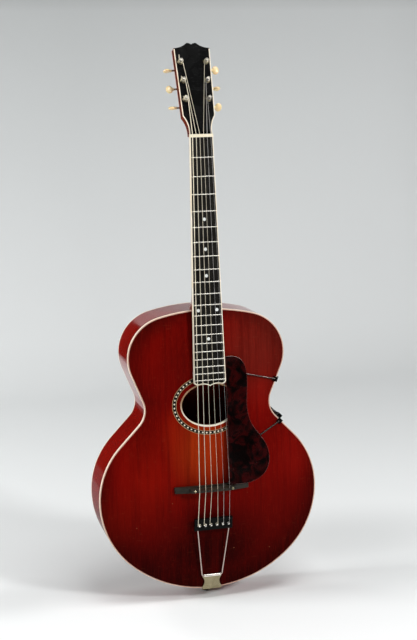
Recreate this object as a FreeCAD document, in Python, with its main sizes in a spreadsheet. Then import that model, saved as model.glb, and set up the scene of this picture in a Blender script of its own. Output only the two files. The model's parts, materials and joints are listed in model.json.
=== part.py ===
import FreeCAD, Part
import math
import os
import Sketcher

# Archtop guitar, upright: X to the treble side, Y to the back, Z up the neck.
# The origin is the middle of the end pin's knob; the rim starts pin_reach above it.

os.makedirs("parts", exist_ok=True)
doc = FreeCAD.newDocument("archtop_guitar")
V = FreeCAD.Vector
sheet = doc.addObject("Spreadsheet::Sheet", "Sizes")

SIZES = {
    # body outline: length and greatest width, then shares of them for the other widths and the heights
    "pin_reach": 16.0,
    "body_length": 522.0,
    "lower_bout_width": 408.0,
    "lower_bout_height_share": 0.34483,
    "waist_width_share": 0.57353,
    "waist_height_share": 0.66092,
    "upper_bout_width_share": 0.71225,
    "upper_bout_height_share": 0.83716,
    "lower_roundness": 0.917,
    "shoulder_roundness": 0.894,
    "lower_sweep": 0.925,
    "lower_waist_share": 0.216,
    "upper_sweep": 0.70,
    "upper_waist_share": 0.348,
    # body walls
    "rim_depth": 90.0,
    "plate_thickness": 5.0,
    "side_thickness": 2.5,
    "top_arch": 16.0,
    "back_arch": 14.0,
    "edge_flat": 3.0,
    "binding_width": 2.2,
    "lining_width": 6.0,
    "lining_depth": 14.0,
    "block_width": 64.0,
    "neck_block_length": 42.0,
    "end_block_length": 24.0,
    "brace_width": 8.0,
    "brace_depth": 11.0,
    "brace_length": 176.0,
    # sound hole and its ring
    "hole_width": 102.0,
    "hole_height": 76.0,
    "hole_below_board": 38.0844,
    "hole_binding": 2.4,
    "hole_binding_rise": 0.4,
    "ring_gap": 7.2,
    "ring_line": 0.9,
    "ring_band": 5.6,
    "inlay_depth": 1.2,
    # neck and board
    "scale_length": 629.0,
    "compensation": 2.0,
    "saddle_height_share": 0.37605,
    "neck_angle": 3.4,
    "board_over_arch": 7.21806,
    "board_overhang": 8.0,
    "board_thickness": 6.0,
    "board_edging": 1.6,
    "board_corner": 7.0,
    "board_point": 2.6,
    "nut_width": 42.0,
    "board_end_width": 58.8,
    "nut_thickness": 5.5,
    "nut_rise": 2.3,
    "neck_depth": 14.5,
    "neck_depth_growth": 2.5,
    "heel_reach": 13.0,
    "fret_radius": 1.0,
    "dot_radius": 3.0,
    "twin_dot_spacing": 34.0,
    # headstock
    "head_angle": 17.0,
    "head_step": 2.5,
    "head_length": 160.5,
    "head_crest": 9.4,
    "head_flare": 34.0,
    "head_lower_width": 58.6,
    "head_upper_width": 65.6,
    "head_thickness": 14.5,
    "veneer": 1.5,
    "head_edging": 1.5,
    # strings
    "string_spread_nut": 33.0,
    "string_spread_saddle": 56.0,
    "string_spread_tail": 54.5,
    "string_rise_nut": 1.9,
    "string_rise_saddle": 6.6,
    "bend_radius": 9.0,
    "post_turns": 3.0,
    "coil_gap": 0.5,
    # bridge
    "bridge_length": 138.0,
    "bridge_thickness": 11.0,
    "bridge_centre_rise": 8.0,
    "bridge_tip_rise": 5.5,
    "saddle_length": 84.0,
    "saddle_thickness": 7.5,
    "stud_spacing": 70.0,
    "stud_radius": 2.6,
    # tailpiece
    "hinge_height": 26.0,
    "hinge_radius": 2.8,
    "hinge_clear": 0.3,
    "wire_radius": 1.35,
    "wire_top_spread": 60.0,
    "wire_foot_spread": 37.5,
    "wire_bend": 4.0,
    "bar_width": 71.0,
    "bar_height": 23.5,
    "bar_distance": 94.0,
    "bar_thickness": 5.0,
    "bar_lip": 2.4,
    "pin_height": 12.0,
    "pin_radius": 1.6,
    "pin_head": 2.3,
    "string_stand": 1.3,
    "bracket_width": 36.0,
    "bracket_waist": 28.4,
    "bracket_sheet": 1.2,
    "bracket_tail": 12.0,
    "end_pin_radius": 4.4,
    "knob_radius": 6.5,
    "knob_length": 6.0,
    # finger rest and its clamps
    "rest_length": 234.0,
    "rest_inner_edge": 30.3,
    "rest_upper_width": 38.4,
    "rest_lower_width": 76.4,
    "rest_thickness": 2.2,
    "rest_sink": 1.5,
    "rest_foot": 6.2,
    "clamp_width": 9.0,
    "clamp_sheet": 1.5,
    "clamp_lap": 7.0,
    "clamp_gap": 0.9,
    "clamp_side_gap": 0.4,
    "clamp_lug": 6.0,
    "clamp_reach": 23.0,
    "barrel_radius": 3.5,
    "barrel_length": 26.0,
    "barrel_offset": 4.9,
    "barrel_rod": 2.0,
    "running_fit": 0.06,
    # tuning machines
    "post_pitch": 35.0,
    "post_line": 22.2,
    "post_line_height": 99.5,
    "post_line_angle": 1.9,
    "post_radius": 2.9,
    "post_rise": 11.5,
    "bushing_radius": 4.2,
    "bushing_flange": 5.2,
    "bushing_rise": 1.3,
    "tuner_sheet": 1.2,
    "tuner_plate_width": 16.0,
    "tuner_plate_margin": 13.0,
    "gear_teeth": 14.0,
    "tooth_module": 0.8,
    "tooth_rise": 0.55,
    "tooth_sink": 0.75,
    "gear_thickness": 4.0,
    "gear_stand": 2.6,
    "worm_radius": 2.4,
    "worm_length": 9.2,
    "key_radius": 1.6,
    "ear_thickness": 2.0,
    "ear_gap": 0.15,
    "button_length": 13.0,
    "button_width": 15.4,
    "button_thickness": 6.4,
    "button_reach": 21.6,
}
for row, (name, number) in enumerate(SIZES.items(), start=1):
    sheet.set(f"A{row}", name)
    sheet.set(f"B{row}", str(number))
    sheet.setAlias(f"B{row}", name)
doc.recompute()


def size(name):
    return float(sheet.get(name))


nodes = []


def keep(item, label):
    item.Label = label
    nodes.append(item)
    return item


def solid_node(label, shape, placement=None):
    item = doc.addObject("Part::Feature", label)
    item.Shape = shape
    if placement:
        item.Placement = placement.multiply(shape.Placement)
    return keep(item, label)


def new_body(label, placement=None):
    body = doc.addObject("PartDesign::Body", label)
    body.Label = label
    if placement:
        body.Placement = placement
    return body


def new_sketch(body, role, offset=None):
    plane = next(item for item in body.Origin.OriginFeatures if item.Role == role)
    sketch = body.newObject("Sketcher::SketchObject", body.Name + "_sketch")
    sketch.AttachmentSupport = [(plane, "")]
    sketch.MapMode = "FlatFace"
    if offset:
        sketch.setExpression("AttachmentOffset.Base.z", offset)
    return sketch


def bind(sketch, constraint, expression):
    index = sketch.addConstraint(constraint)
    sketch.renameConstraint(index, f"size{index}")
    sketch.setExpression(f"Constraints.size{index}", expression)


def polygon(sketch, corners):
    # closed run of straight lines, each corner placed from the sketch origin by two expressions
    count = len(corners)
    first = sketch.GeometryCount
    start = [V(math.cos(2 * math.pi * i / count), math.sin(2 * math.pi * i / count), 0) for i in range(count)]
    for i in range(count):
        sketch.addGeometry(Part.LineSegment(start[i], start[(i + 1) % count]))
    for i in range(count):
        sketch.addConstraint(Sketcher.Constraint("Coincident", first + i, 2, first + (i + 1) % count, 1))
    for i, (across, along) in enumerate(corners):
        bind(sketch, Sketcher.Constraint("DistanceX", -1, 1, first + i, 1, start[i].x), across)
        bind(sketch, Sketcher.Constraint("DistanceY", -1, 1, first + i, 1, start[i].y), along)


def circle(sketch, across, along, radius):
    index = sketch.addGeometry(Part.Circle(V(1, 1, 0), V(0, 0, 1), 1))
    bind(sketch, Sketcher.Constraint("DistanceX", -1, 1, index, 3, 1), across)
    bind(sketch, Sketcher.Constraint("DistanceY", -1, 1, index, 3, 1), along)
    bind(sketch, Sketcher.Constraint("Radius", index, 1), radius)


def pad(body, sketch, length, side="One side", reverse=False):
    feature = body.newObject("PartDesign::Pad", body.Name + "_pad")
    feature.Profile = sketch
    feature.SideType = side
    feature.Reversed = reverse
    feature.setExpression("Length", length)
    body.Tip = feature
    return feature


def pocket(body, sketch, length, side="Symmetric", reverse=False):
    feature = body.newObject("PartDesign::Pocket", body.Name + "_pocket")
    feature.Profile = sketch
    feature.SideType = side
    feature.Reversed = reverse
    feature.setExpression("Length", length)
    body.Tip = feature
    return feature


def revolve(body, sketch, axis):
    feature = body.newObject("PartDesign::Revolution", body.Name + "_turn")
    feature.Profile = sketch
    feature.ReferenceAxis = (sketch, [axis])
    feature.Angle = 360
    body.Tip = feature
    return feature


def joined(parts):
    whole = parts[0].fuse(parts[1:])
    return whole.removeSplitter()


# Heights up the body that the other pieces are set from.
base = size("pin_reach")
front = -size("rim_depth") / 2
saddle_height = base + size("body_length") * size("saddle_height_share")


# Body outline: tangent arcs up the treble half, given as joints with outward normals.
def quarter(half_width, height, roundness):
    # radii of the side and end arcs of a quarter, and the normal where they meet; the shorter way is the rounder
    if half_width >= height:
        side = roundness * height
        end = (half_width ** 2 + height ** 2 - 2 * half_width * side) / (2 * (height - side))
        normal = V(half_width - side, end - height, 0)
    else:
        end = roundness * half_width
        side = (half_width ** 2 + height ** 2 - 2 * height * end) / (2 * (half_width - end))
        normal = V(side - half_width, height - end, 0)
    return side, end, normal.normalize()


def sweep(rise, step, fullness, share):
    radii = fullness * (rise ** 2 + step ** 2) / (2 * step)
    reach = math.hypot(radii - step, rise)
    turn = math.atan2(rise, radii - step) - math.acos(radii / reach)
    return radii * (1 - share), radii * share, turn


def outline_joints():
    lower = size("lower_bout_width") / 2
    waist = lower * size("waist_width_share")
    upper = lower * size("upper_bout_width_share")
    top_z = size("body_length")
    lower_z = top_z * size("lower_bout_height_share")
    waist_z = top_z * size("waist_height_share")
    upper_z = top_z * size("upper_bout_height_share")
    side, end, tilt = quarter(lower, lower_z, size("lower_roundness"))
    tilt.y = -tilt.y
    bout, hollow, turn = sweep(waist_z - lower_z, lower - waist, size("lower_sweep"), size("lower_waist_share"))
    slope = V(math.cos(turn), math.sin(turn), 0)
    high_bout, high_hollow, high_turn = sweep(
        upper_z - waist_z, upper - waist, size("upper_sweep"), size("upper_waist_share"))
    high_slope = V(math.cos(high_turn), -math.sin(high_turn), 0)
    shoulder, crown, high_tilt = quarter(upper, top_z - upper_z, size("shoulder_roundness"))
    across = V(1, 0, 0)
    # each step: joint point, its outward normal, then centre and signed radius of the arc that follows
    return [
        (V(0, 0, 0), V(0, -1, 0), V(0, end, 0), end),
        (V(0, end, 0) + tilt * end, tilt, V(lower - side, lower_z, 0), side),
        (V(lower, lower_z, 0), across, V(lower - bout, lower_z, 0), bout),
        (V(lower - bout, lower_z, 0) + slope * bout, slope, None, 0),
        (V(waist + hollow, waist_z, 0) - slope * hollow, slope, V(waist + hollow, waist_z, 0), -hollow),
        (V(waist, waist_z, 0), across, V(waist + high_hollow, waist_z, 0), -high_hollow),
        (V(waist + high_hollow, waist_z, 0) - high_slope * high_hollow, high_slope, None, 0),
        (V(upper - high_bout, upper_z, 0) + high_slope * high_bout, high_slope,
         V(upper - high_bout, upper_z, 0), high_bout),
        (V(upper, upper_z, 0), across, V(upper - shoulder, upper_z, 0), shoulder),
        (V(0, top_z - crown, 0) + high_tilt * crown, high_tilt, V(0, top_z - crown, 0), crown),
        (V(0, top_z, 0), V(0, 1, 0), None, 0),
    ]


joints = outline_joints()


def in_plane(point, side, depth):
    return V(side * point.x, depth, base + point.y)


def half_edges(inset, side, depth):
    edges = []
    for here, after in zip(joints[:-1], joints[1:]):
        point, normal, centre, radius = here
        begin = point - normal * inset
        finish = after[0] - after[1] * inset
        ends = (in_plane(begin, side, depth), in_plane(finish, side, depth))
        if centre is None:
            edges.append(Part.LineSegment(*ends).toShape())
        else:
            middle = centre + (normal + after[1]).normalize() * (radius - inset)
            edges.append(Part.Arc(ends[0], in_plane(middle, side, depth), ends[1]).toShape())
    return edges


def outline_prism(inset, depth, far):
    edges = half_edges(inset, 1, depth) + half_edges(inset, -1, depth)
    wire = Part.Wire(Part.__sortEdges__(edges))
    return Part.Face(wire).extrude(V(0, far - depth, 0))


def half_width(height):
    for here, after in zip(joints[:-1], joints[1:]):
        low = here[0]
        high = after[0]
        if low.y <= height <= high.y:
            if here[2] is None:
                return low.x + (high.x - low.x) * (height - low.y) / (high.y - low.y)
            radius = here[3]
            span = math.sqrt(max(radius ** 2 - (height - here[2].y) ** 2, 0))
            return here[2].x + math.copysign(span, radius)
    return 0.0


def arch(across, height, rise):
    # carved arch: full along the middle, falling to a flat margin at the edge
    length = size("body_length")
    flat = size("edge_flat")
    along = abs(2 * height - length) / (length - 2 * flat)
    if along >= 1:
        return 0.0
    reach = half_width(height) - flat
    share = abs(across) / reach if reach > 1 else 1.0
    if share >= 1:
        return 0.0
    return rise * (1 - share ** 2.2) ** 1.7 * (1 - along ** 2.6) ** 1.3


# Neck frames. The board's end clears the arch; the neck leans back by neck_angle, the headstock by more.
lean = math.radians(size("neck_angle"))
saddle_reach = size("scale_length") + size("compensation")
last_fret = size("scale_length") * (1 - 2 ** (-20 / 12))
board_length = last_fret + size("board_overhang")
end_height = saddle_height + (saddle_reach - board_length) * math.cos(lean)
hole_height = end_height - size("hole_below_board")
end_y = front - arch(0, end_height - base, size("top_arch")) - size("board_over_arch")
nut_y = end_y + board_length * math.sin(lean)
nut_z = saddle_height + saddle_reach * math.cos(lean)
board_frame = FreeCAD.Placement(V(0, nut_y, nut_z), FreeCAD.Rotation(V(1, 0, 0), -size("neck_angle")))
head_gap = 0.5
head_frame = board_frame.multiply(FreeCAD.Placement(
    V(0, size("head_step"), size("nut_thickness") + head_gap),
    FreeCAD.Rotation(V(1, 0, 0), -size("head_angle"))))


def arch_face(side, rise):
    margin = 18.0
    columns = 29
    rows = 35
    reach = size("lower_bout_width") / 2 + margin
    length = size("body_length") + 2 * margin
    grid = []
    for i in range(columns):
        x = -reach + 2 * reach * i / (columns - 1)
        heights = [-margin + length * j / (rows - 1) for j in range(rows)]
        grid.append([V(x, -side * (front - arch(x, z, rise)), base + z) for z in heights])
    surface = Part.BSplineSurface()
    surface.interpolate(grid)
    return surface.toShape()


top_face = arch_face(-1, size("top_arch"))
back_face = arch_face(1, size("back_arch"))


def top_layer(start, finish):
    return top_face.translated(V(0, start, 0)).extrude(V(0, finish - start, 0))


def back_layer(start, finish):
    return back_face.translated(V(0, -start, 0)).extrude(V(0, start - finish, 0))


def oval_prism(grow):
    oval = Part.Ellipse(V(0, 0, 0), size("hole_width") / 2 + grow, size("hole_height") / 2 + grow)
    face = Part.Face(Part.Wire(oval.toShape()))
    face.rotate(V(0, 0, 0), V(1, 0, 0), 90)
    face.translate(V(0, front - 40, hole_height))
    return face.extrude(V(0, 70, 0))


def oval_ring(inner, outer):
    return oval_prism(outer).cut(oval_prism(inner))


# Top plate with the sound hole and the channel for its ring; back plate.
thick = size("plate_thickness")
deep = 40.0
plate_edge = size("binding_width")
hole_lining = size("hole_binding")
ring_inner = hole_lining + size("ring_gap")
band_inner = ring_inner + size("ring_line")
band_outer = band_inner + size("ring_band")
ring_outer = band_outer + size("ring_line")
inlay = size("inlay_depth")
plate = top_layer(0, thick).common(outline_prism(plate_edge, front - deep, front + deep))
plate = plate.cut(oval_prism(hole_lining))
plate = plate.cut(oval_ring(ring_inner, ring_outer).common(top_layer(-1, inlay)))
solid_node("top_plate", plate)
back = back_layer(0, thick).common(outline_prism(plate_edge, -front - deep, -front + deep))
solid_node("back_plate", back)

rise = size("hole_binding_rise")
solid_node("soundhole_binding", oval_ring(0, hole_lining).common(top_layer(-rise, thick)))
solid_node("rosette_band", oval_ring(band_inner, band_outer).common(top_layer(0, inlay)))
line_rings = [oval_ring(ring_inner, band_inner), oval_ring(band_outer, ring_outer)]
solid_node("rosette_lines", Part.makeCompound([ring.common(top_layer(0, inlay)) for ring in line_rings]))

# Bindings round both edges, and the two bent sides between the plates.
edge_ring = outline_prism(0, front, front + thick).cut(outline_prism(plate_edge, front, front + thick))
solid_node("top_binding", edge_ring)
solid_node("back_binding", edge_ring.translated(V(0, size("rim_depth") - thick, 0)))
wall = size("side_thickness")
inner_front = front + thick
rim = outline_prism(0, inner_front, -inner_front).cut(outline_prism(wall, inner_front, -inner_front))
pin_bore = Part.makeCylinder(size("end_pin_radius"), base + 2 * size("end_block_length"), V(0, 0, 0))
half_reach = size("lower_bout_width")
half_space = Part.makeBox(half_reach, 2 * size("rim_depth"), 2 * size("body_length"), V(0, 2 * front, 0))
rim = rim.cut(pin_bore)
solid_node("side_treble", rim.common(half_space))
solid_node("side_bass", rim.common(half_space.translated(V(-half_reach, 0, 0))))

# Blocks, linings and cross braces inside the body.
cavity = outline_prism(wall, inner_front, -inner_front)
block_half = size("block_width") / 2
top_end = base + size("body_length")
neck_block_box = Part.makeBox(
    2 * block_half, -2 * inner_front, size("neck_block_length"),
    V(-block_half, inner_front, top_end - wall - size("neck_block_length")))
neck_block = cavity.common(neck_block_box)
end_block_box = Part.makeBox(
    2 * block_half, -2 * inner_front, size("end_block_length"), V(-block_half, inner_front, base))
end_block = cavity.common(end_block_box)
solid_node("neck_block", neck_block)
solid_node("end_block", end_block.cut(pin_bore))
strip = size("lining_depth")
lining = outline_prism(wall, inner_front, inner_front + strip)
lining = lining.cut(outline_prism(wall + size("lining_width"), inner_front, inner_front + strip))
lining = lining.cut([neck_block_box, end_block_box])
far_lining = lining.translated(V(0, -2 * inner_front - strip, 0))
solid_node("linings", Part.makeCompound(lining.Solids + far_lining.Solids))
brace_half = size("brace_length") / 2
brace_offset = size("hole_height") / 2 + ring_outer + size("brace_width")
braces = []
for direction in (-1, 1):
    middle = hole_height + direction * brace_offset
    blank = Part.makeBox(2 * brace_half, 60, size("brace_width"),
                         V(-brace_half, front - 30, middle - size("brace_width") / 2))
    braces.append(blank.common(top_layer(thick, thick + size("brace_depth"))))
solid_node("top_braces", Part.makeCompound(braces))


# Neck: half-elliptical back, deepening into the heel; one piece with the headstock.
board_t = size("board_thickness")
widening = (size("board_end_width") - size("nut_width")) / 2 / last_fret


def board_half(distance):
    return size("nut_width") / 2 + widening * max(distance, 0)


# the blank stands higher by this waste, then one flat cut makes the seat of the board and nut
waste = 3.0
joint_reach = (nut_z - top_end) / math.cos(lean)
heel_depth = -front - (nut_y - joint_reach * math.sin(lean)) - board_t


def neck_section(distance):
    depth = size("neck_depth") + size("neck_depth_growth") * max(distance, 0) / joint_reach
    depth += (heel_depth - depth) * math.exp((distance - joint_reach) / size("heel_reach"))
    half = board_half(distance)
    oval = Part.Ellipse(V(0, 0, 0), max(half, depth), min(half, depth))
    turned = half < depth
    start = -math.pi / 2 if turned else 0.0
    edge = Part.ArcOfEllipse(oval, start, start + math.pi).toShape()
    if turned:
        edge.rotate(V(0, 0, 0), V(0, 0, 1), 90)
    edge.translate(V(0, board_t, -distance))
    ends = [vertex.Point for vertex in edge.Vertexes]
    raised = [end - V(0, waste, 0) for end in ends]
    walls = [Part.LineSegment(ends[1], raised[1]).toShape(), Part.LineSegment(raised[0], ends[0]).toShape()]
    return Part.Wire([edge, walls[0], Part.LineSegment(raised[1], raised[0]).toShape(), walls[1]])


shaft_end = joint_reach - 80
straight = Part.makeLoft([neck_section(distance) for distance in (-26, 0, shaft_end)], True, True)
heel_steps = [80, 66, 53, 41, 31, 22, 14, 7, 0, -7]
heel = Part.makeLoft([neck_section(joint_reach - step) for step in heel_steps], True, False)
tongue_end = board_length - 2 * size("board_corner")
tongue_from = joint_reach - 8
under = 1.2
tongue_corners = [
    V(-board_half(tongue_from) + under, board_t - waste / 2, -tongue_from),
    V(board_half(tongue_from) - under, board_t - waste / 2, -tongue_from),
    V(board_half(tongue_end) - under, board_t - waste / 2, -tongue_end),
    V(-board_half(tongue_end) + under, board_t - waste / 2, -tongue_end),
]
tongue = Part.Face(Part.makePolygon(tongue_corners + tongue_corners[:1])).extrude(V(0, 26, 0))
tongue.Placement = board_frame
tongue = tongue.cut(top_layer(0, deep))
tongue = sorted(tongue.Solids, key=lambda piece: piece.BoundBox.YMin)[0]


def head_wire(inset, foot):
    low = size("head_lower_width") / 2 - inset
    high = size("head_upper_width") / 2 - inset
    flare = size("head_flare")
    corner = size("head_length") - inset
    crest = corner + size("head_crest")
    root = size("nut_width") / 2 - 0.2 - inset
    edges = []
    for side in (1, -1):
        start = V(side * root, 0, foot)
        waist = V(side * (root + 1.5), 0, flare * 0.56)
        ear = V(side * low, 0, flare)
        shoulder = V(side * high, 0, corner)
        slope = V(side * high * 0.62, 0, corner + size("head_crest") * 0.24)
        peak = V(side * high * 0.27, 0, crest)
        lobe = V(side * high * 0.13, 0, crest - size("head_crest") * 0.03)
        notch = V(0, 0, crest - size("head_crest") * 0.3)
        edges.append(Part.Arc(start, waist, ear).toShape())
        edges.append(Part.LineSegment(ear, shoulder).toShape())
        edges.append(Part.Arc(shoulder, slope, peak).toShape())
        edges.append(Part.Arc(peak, lobe, notch).toShape())
    edges.append(Part.LineSegment(V(-root, 0, foot), V(root, 0, foot)).toShape())
    return Part.Wire(Part.__sortEdges__(edges))


def post_places():
    # plate frames on the back of the headstock, treble then bass, and the posts along them
    back_y = size("veneer") + size("head_thickness")
    places = []
    for side in (1, -1):
        middle = FreeCAD.Placement(
            V(side * size("post_line"), back_y, size("post_line_height")),
            FreeCAD.Rotation(V(0, 1, 0), side * size("post_line_angle")))
        frame = head_frame.multiply(middle)
        for step in (-1, 0, 1):
            post = FreeCAD.Placement(V(0, 0, step * size("post_pitch")), FreeCAD.Rotation())
            places.append((side, step, frame.multiply(post), middle.multiply(post)))
    return places


posts = post_places()
veneer = size("veneer")
head_blank = Part.Face(head_wire(0, 0)).extrude(V(0, size("head_thickness"), 0)).translated(V(0, veneer, 0))
bores = [Part.makeCylinder(size("bushing_radius"), 40, place.Base + V(0, -30, 0), V(0, 1, 0))
         for side, step, frame, place in posts]
head_in_board = board_frame.inverse().multiply(head_frame)
head_solid = head_blank.cut(bores)
head_solid.Placement = head_in_board
above_face = Part.makeBox(120, 30, 90, V(-60, veneer - 30, 0))
above_face.Placement = head_in_board
seat_top = size("nut_thickness") + head_gap
wide = 2 * size("board_end_width")
seat_cut = Part.makeBox(wide, board_t + 40, seat_top + board_length + 40, V(-wide / 2, -40, -board_length - 40))
behind = Part.makeBox(120, 200, 200, V(-60, -front, top_end - 60))
heel.Placement = board_frame
heel = heel.cut(behind).cut(outline_prism(0, front - deep, -front + 20))
heel = sorted(heel.Solids, key=lambda piece: piece.Volume)[-1]
stem = straight.cut(above_face).fuse(head_solid)
stem.Placement = board_frame
seat_cut.Placement = board_frame
neck = stem.fuse(heel).fuse(tongue).cut(seat_cut)
largest = sorted(neck.Solids, key=lambda piece: piece.Volume)[-1]
solid_node("neck", largest)

# Headstock veneer, drilled for the bushings, with a strip of edging let in up each side to the shoulder.
edging = size("head_edging")
veneer_blank = Part.Face(head_wire(0, 0)).extrude(V(0, veneer, 0))
edging_core = Part.Face(head_wire(edging, 0)).extrude(V(0, veneer, 0))
head_wide = size("head_upper_width")
above_shoulder = Part.makeBox(2 * head_wide, 3 * veneer, head_wide, V(-head_wide, -veneer, size("head_length") - edging))
strips = veneer_blank.cut(edging_core).cut(above_shoulder)
solid_node("headstock_veneer", veneer_blank.cut(strips).cut(bores), head_frame)
solid_node("headstock_binding", strips, head_frame)


# Fingerboard with a shaped end, its edging, dots and frets.
def board_wire(inset):
    corner = size("board_corner")
    tip = board_length - inset
    edges = []
    turn_at = tip - corner
    root = size("nut_width") / 2 - inset
    for side in (1, -1):
        shoulder = V(side * (board_half(turn_at) - inset), 0, -turn_at)
        round_middle = V(shoulder.x - side * corner * 0.22, 0, -tip + corner * 0.26)
        round_end = V(shoulder.x - side * corner * 0.95, 0, -tip)
        dip = V(round_end.x * 0.5, 0, -tip + 0.9)
        point = V(0, 0, -tip - size("board_point"))
        edges.append(Part.LineSegment(V(side * root, 0, 0), shoulder).toShape())
        edges.append(Part.Arc(shoulder, round_middle, round_end).toShape())
        edges.append(Part.Arc(round_end, dip, point).toShape())
    edges.append(Part.LineSegment(V(-root, 0, 0), V(root, 0, 0)).toShape())
    return Part.Wire(Part.__sortEdges__(edges))


def fret_distance(number):
    return size("scale_length") * (1 - 2 ** (-number / 12))


side_strip = size("board_edging")
dot_places = []
for number in (5, 7, 9, 15):
    dot_places.append((0, (fret_distance(number) + fret_distance(number - 1)) / 2))
for side in (-1, 1):
    dot_places.append((side * size("twin_dot_spacing") / 2, (fret_distance(12) + fret_distance(11)) / 2))
dots = [Part.makeCylinder(size("dot_radius"), inlay, V(x, 0, -distance), V(0, 1, 0)) for x, distance in dot_places]
board_core = Part.Face(board_wire(side_strip)).extrude(V(0, board_t, 0))
board_blank = Part.Face(board_wire(0)).extrude(V(0, board_t, 0))
solid_node("fingerboard", board_core.cut(dots), board_frame)
solid_node("fingerboard_binding", board_blank.cut(board_core), board_frame)
solid_node("position_dots", Part.makeCompound(dots), board_frame)

fret_wires = []
lying = FreeCAD.Rotation(V(0, 0, 1), V(0, -1, 0), V(1, 0, 0), "XYZ")
for number in range(1, 21):
    wire = doc.addObject("Part::Cylinder", "fret")
    wire.Label = f"fret_{number}"
    wire.Angle = 180
    share = f"(1 - 2 ^ (-{number} / 12))"
    wire.setExpression("Radius", "Sizes.fret_radius")
    spread = f"(Sizes.board_end_width - Sizes.nut_width) * {share} / (1 - 2 ^ (-20 / 12))"
    wire.setExpression("Height", f"Sizes.nut_width + {spread} - 2 * Sizes.board_edging")
    half = board_half(fret_distance(number)) - side_strip
    wire.Placement = FreeCAD.Placement(V(-half, 0, -fret_distance(number)), lying)
    fret_wires.append(wire)
frets = doc.addObject("Part::Compound", "frets")
frets.Links = fret_wires
frets.Placement = board_frame
keep(frets, "frets")

# Strings: gauges from bass to treble, spread evenly at nut, saddle and tailpiece.
gauges = [0.66, 0.54, 0.43, 0.33, 0.24, 0.19]


def spread_place(name, number):
    return size(name) * (number / 5 - 0.5)


nut = new_body("nut", board_frame)
profile = new_sketch(nut, "YZ_Plane")
polygon(profile, [
    ("Sizes.board_thickness", "0"),
    ("-Sizes.nut_rise", "0"),
    ("-Sizes.nut_rise + 0.8", "Sizes.nut_thickness"),
    ("Sizes.board_thickness", "Sizes.nut_thickness"),
])
pad(nut, profile, "Sizes.nut_width", "Symmetric")
slots = new_sketch(nut, "XY_Plane")
slot_clear = 0.06
slot_depth = 0.24
for number, gauge in enumerate(gauges):
    middle = f"Sizes.string_spread_nut * ({number} / 5 - 0.5)"
    floor = f"-Sizes.string_rise_nut + {gauge + slot_depth}"
    polygon(slots, [
        (f"{middle} - {gauge + slot_clear}", floor),
        (f"{middle} + {gauge + slot_clear}", floor),
        (f"{middle} + {gauge + slot_clear}", "-Sizes.nut_rise - 2"),
        (f"{middle} - {gauge + slot_clear}", "-Sizes.nut_rise - 2"),
    ])
pocket(nut, slots, "4 * Sizes.nut_thickness")
keep(nut, "nut")

# Bridge: base carved to the arch, saddle bar on it, two domed studs through the bar's ends.
saddle_y = nut_y - saddle_reach * math.sin(lean) - size("string_rise_saddle") / math.cos(lean)
saddle_z = saddle_height
crown_y = front - arch(0, saddle_z - base, size("top_arch"))
base_top = crown_y - size("bridge_centre_rise")
tip_top = front - arch(size("bridge_length") / 2, saddle_z - base, size("top_arch")) - size("bridge_tip_rise")
long_half = size("bridge_length") / 2
bar_half = size("saddle_length") / 2
bridge_corners = [
    V(-long_half, 0, 0),
    V(-long_half, tip_top, 0),
    V(-bar_half - 4, base_top, 0),
    V(bar_half + 4, base_top, 0),
    V(long_half, tip_top, 0),
    V(long_half, 0, 0),
]
bridge_t = size("bridge_thickness")
bridge_blank = Part.Face(Part.makePolygon(bridge_corners + bridge_corners[:1])).extrude(V(0, 0, bridge_t))
bridge_blank.translate(V(0, 0, saddle_z - bridge_t / 2))
bridge = bridge_blank.cut(top_layer(0, 70))
bridge = sorted(bridge.Solids, key=lambda piece: piece.BoundBox.YMin)[0]
ends = [edge for edge in bridge.Edges if abs(edge.BoundBox.XLength) < 1e-6 and edge.BoundBox.ZLength > bridge_t - 0.1]
solid_node("bridge_base", bridge.makeFillet(1.2, [edge for edge in ends if edge.BoundBox.YMin < tip_top + 0.5]))
bar_foot = doc.addObject("Part::Box", "saddle_bar")
bar_foot.setExpression("Length", "Sizes.saddle_length")
bar_foot.setExpression("Height", "Sizes.saddle_thickness")
bar_foot.Width = base_top - saddle_y + 1.2
bar_foot.Placement = FreeCAD.Placement(
    V(-bar_half, saddle_y - 1.2, saddle_z - size("saddle_thickness") / 2), FreeCAD.Rotation())
doc.recompute()
bar_shape = bar_foot.Shape.copy()
slope_cut = []
for direction in (-1, 1):
    face = Part.Face(Part.makePolygon([
        V(-bar_half, saddle_y - 2, direction * 1.6),
        V(-bar_half, saddle_y - 2, direction * 9),
        V(-bar_half, saddle_y + 8, direction * 9),
        V(-bar_half, saddle_y + 8, direction * size("saddle_thickness") / 2),
        V(-bar_half, saddle_y - 2, direction * 1.6),
    ]))
    slope_cut.append(face.extrude(V(2 * bar_half, 0, 0)).translated(V(0, 0, saddle_z)))
stud_half = size("stud_spacing") / 2
end_drop = size("string_rise_saddle") * 0.6
for side in (-1, 1):
    shelf = bar_half - size("string_spread_saddle") / 2 - 3
    slope_cut.append(Part.makeBox(
        shelf + 1, end_drop + 3, 20,
        V(bar_half - shelf if side > 0 else -bar_half - 1, saddle_y - 3, saddle_z - 10)))
bar_shape = bar_shape.cut(slope_cut)
notches = []
for number, gauge in enumerate(gauges):
    x = spread_place("string_spread_saddle", number)
    groove = gauge + slot_clear
    floor = saddle_y + gauge + slot_depth
    notches.append(Part.makeBox(2 * groove, 4, 20, V(x - groove, floor - 4, saddle_z - 10)))
bar_shape = bar_shape.cut(notches)
solid_node("bridge_saddle", bar_shape)
stud_seat = saddle_y + end_drop
stud = new_body("stud_pattern")
profile = new_sketch(stud, "XZ_Plane")
polygon(profile, [
    ("0", "0"),
    ("Sizes.stud_radius", "0"),
    ("Sizes.stud_radius", "0.5"),
    ("Sizes.stud_radius * 0.8", "1.2"),
    ("Sizes.stud_radius * 0.45", "1.7"),
    ("0", "1.9"),
])
revolve(stud, profile, "V_Axis")
doc.recompute()
studs = []
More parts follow.
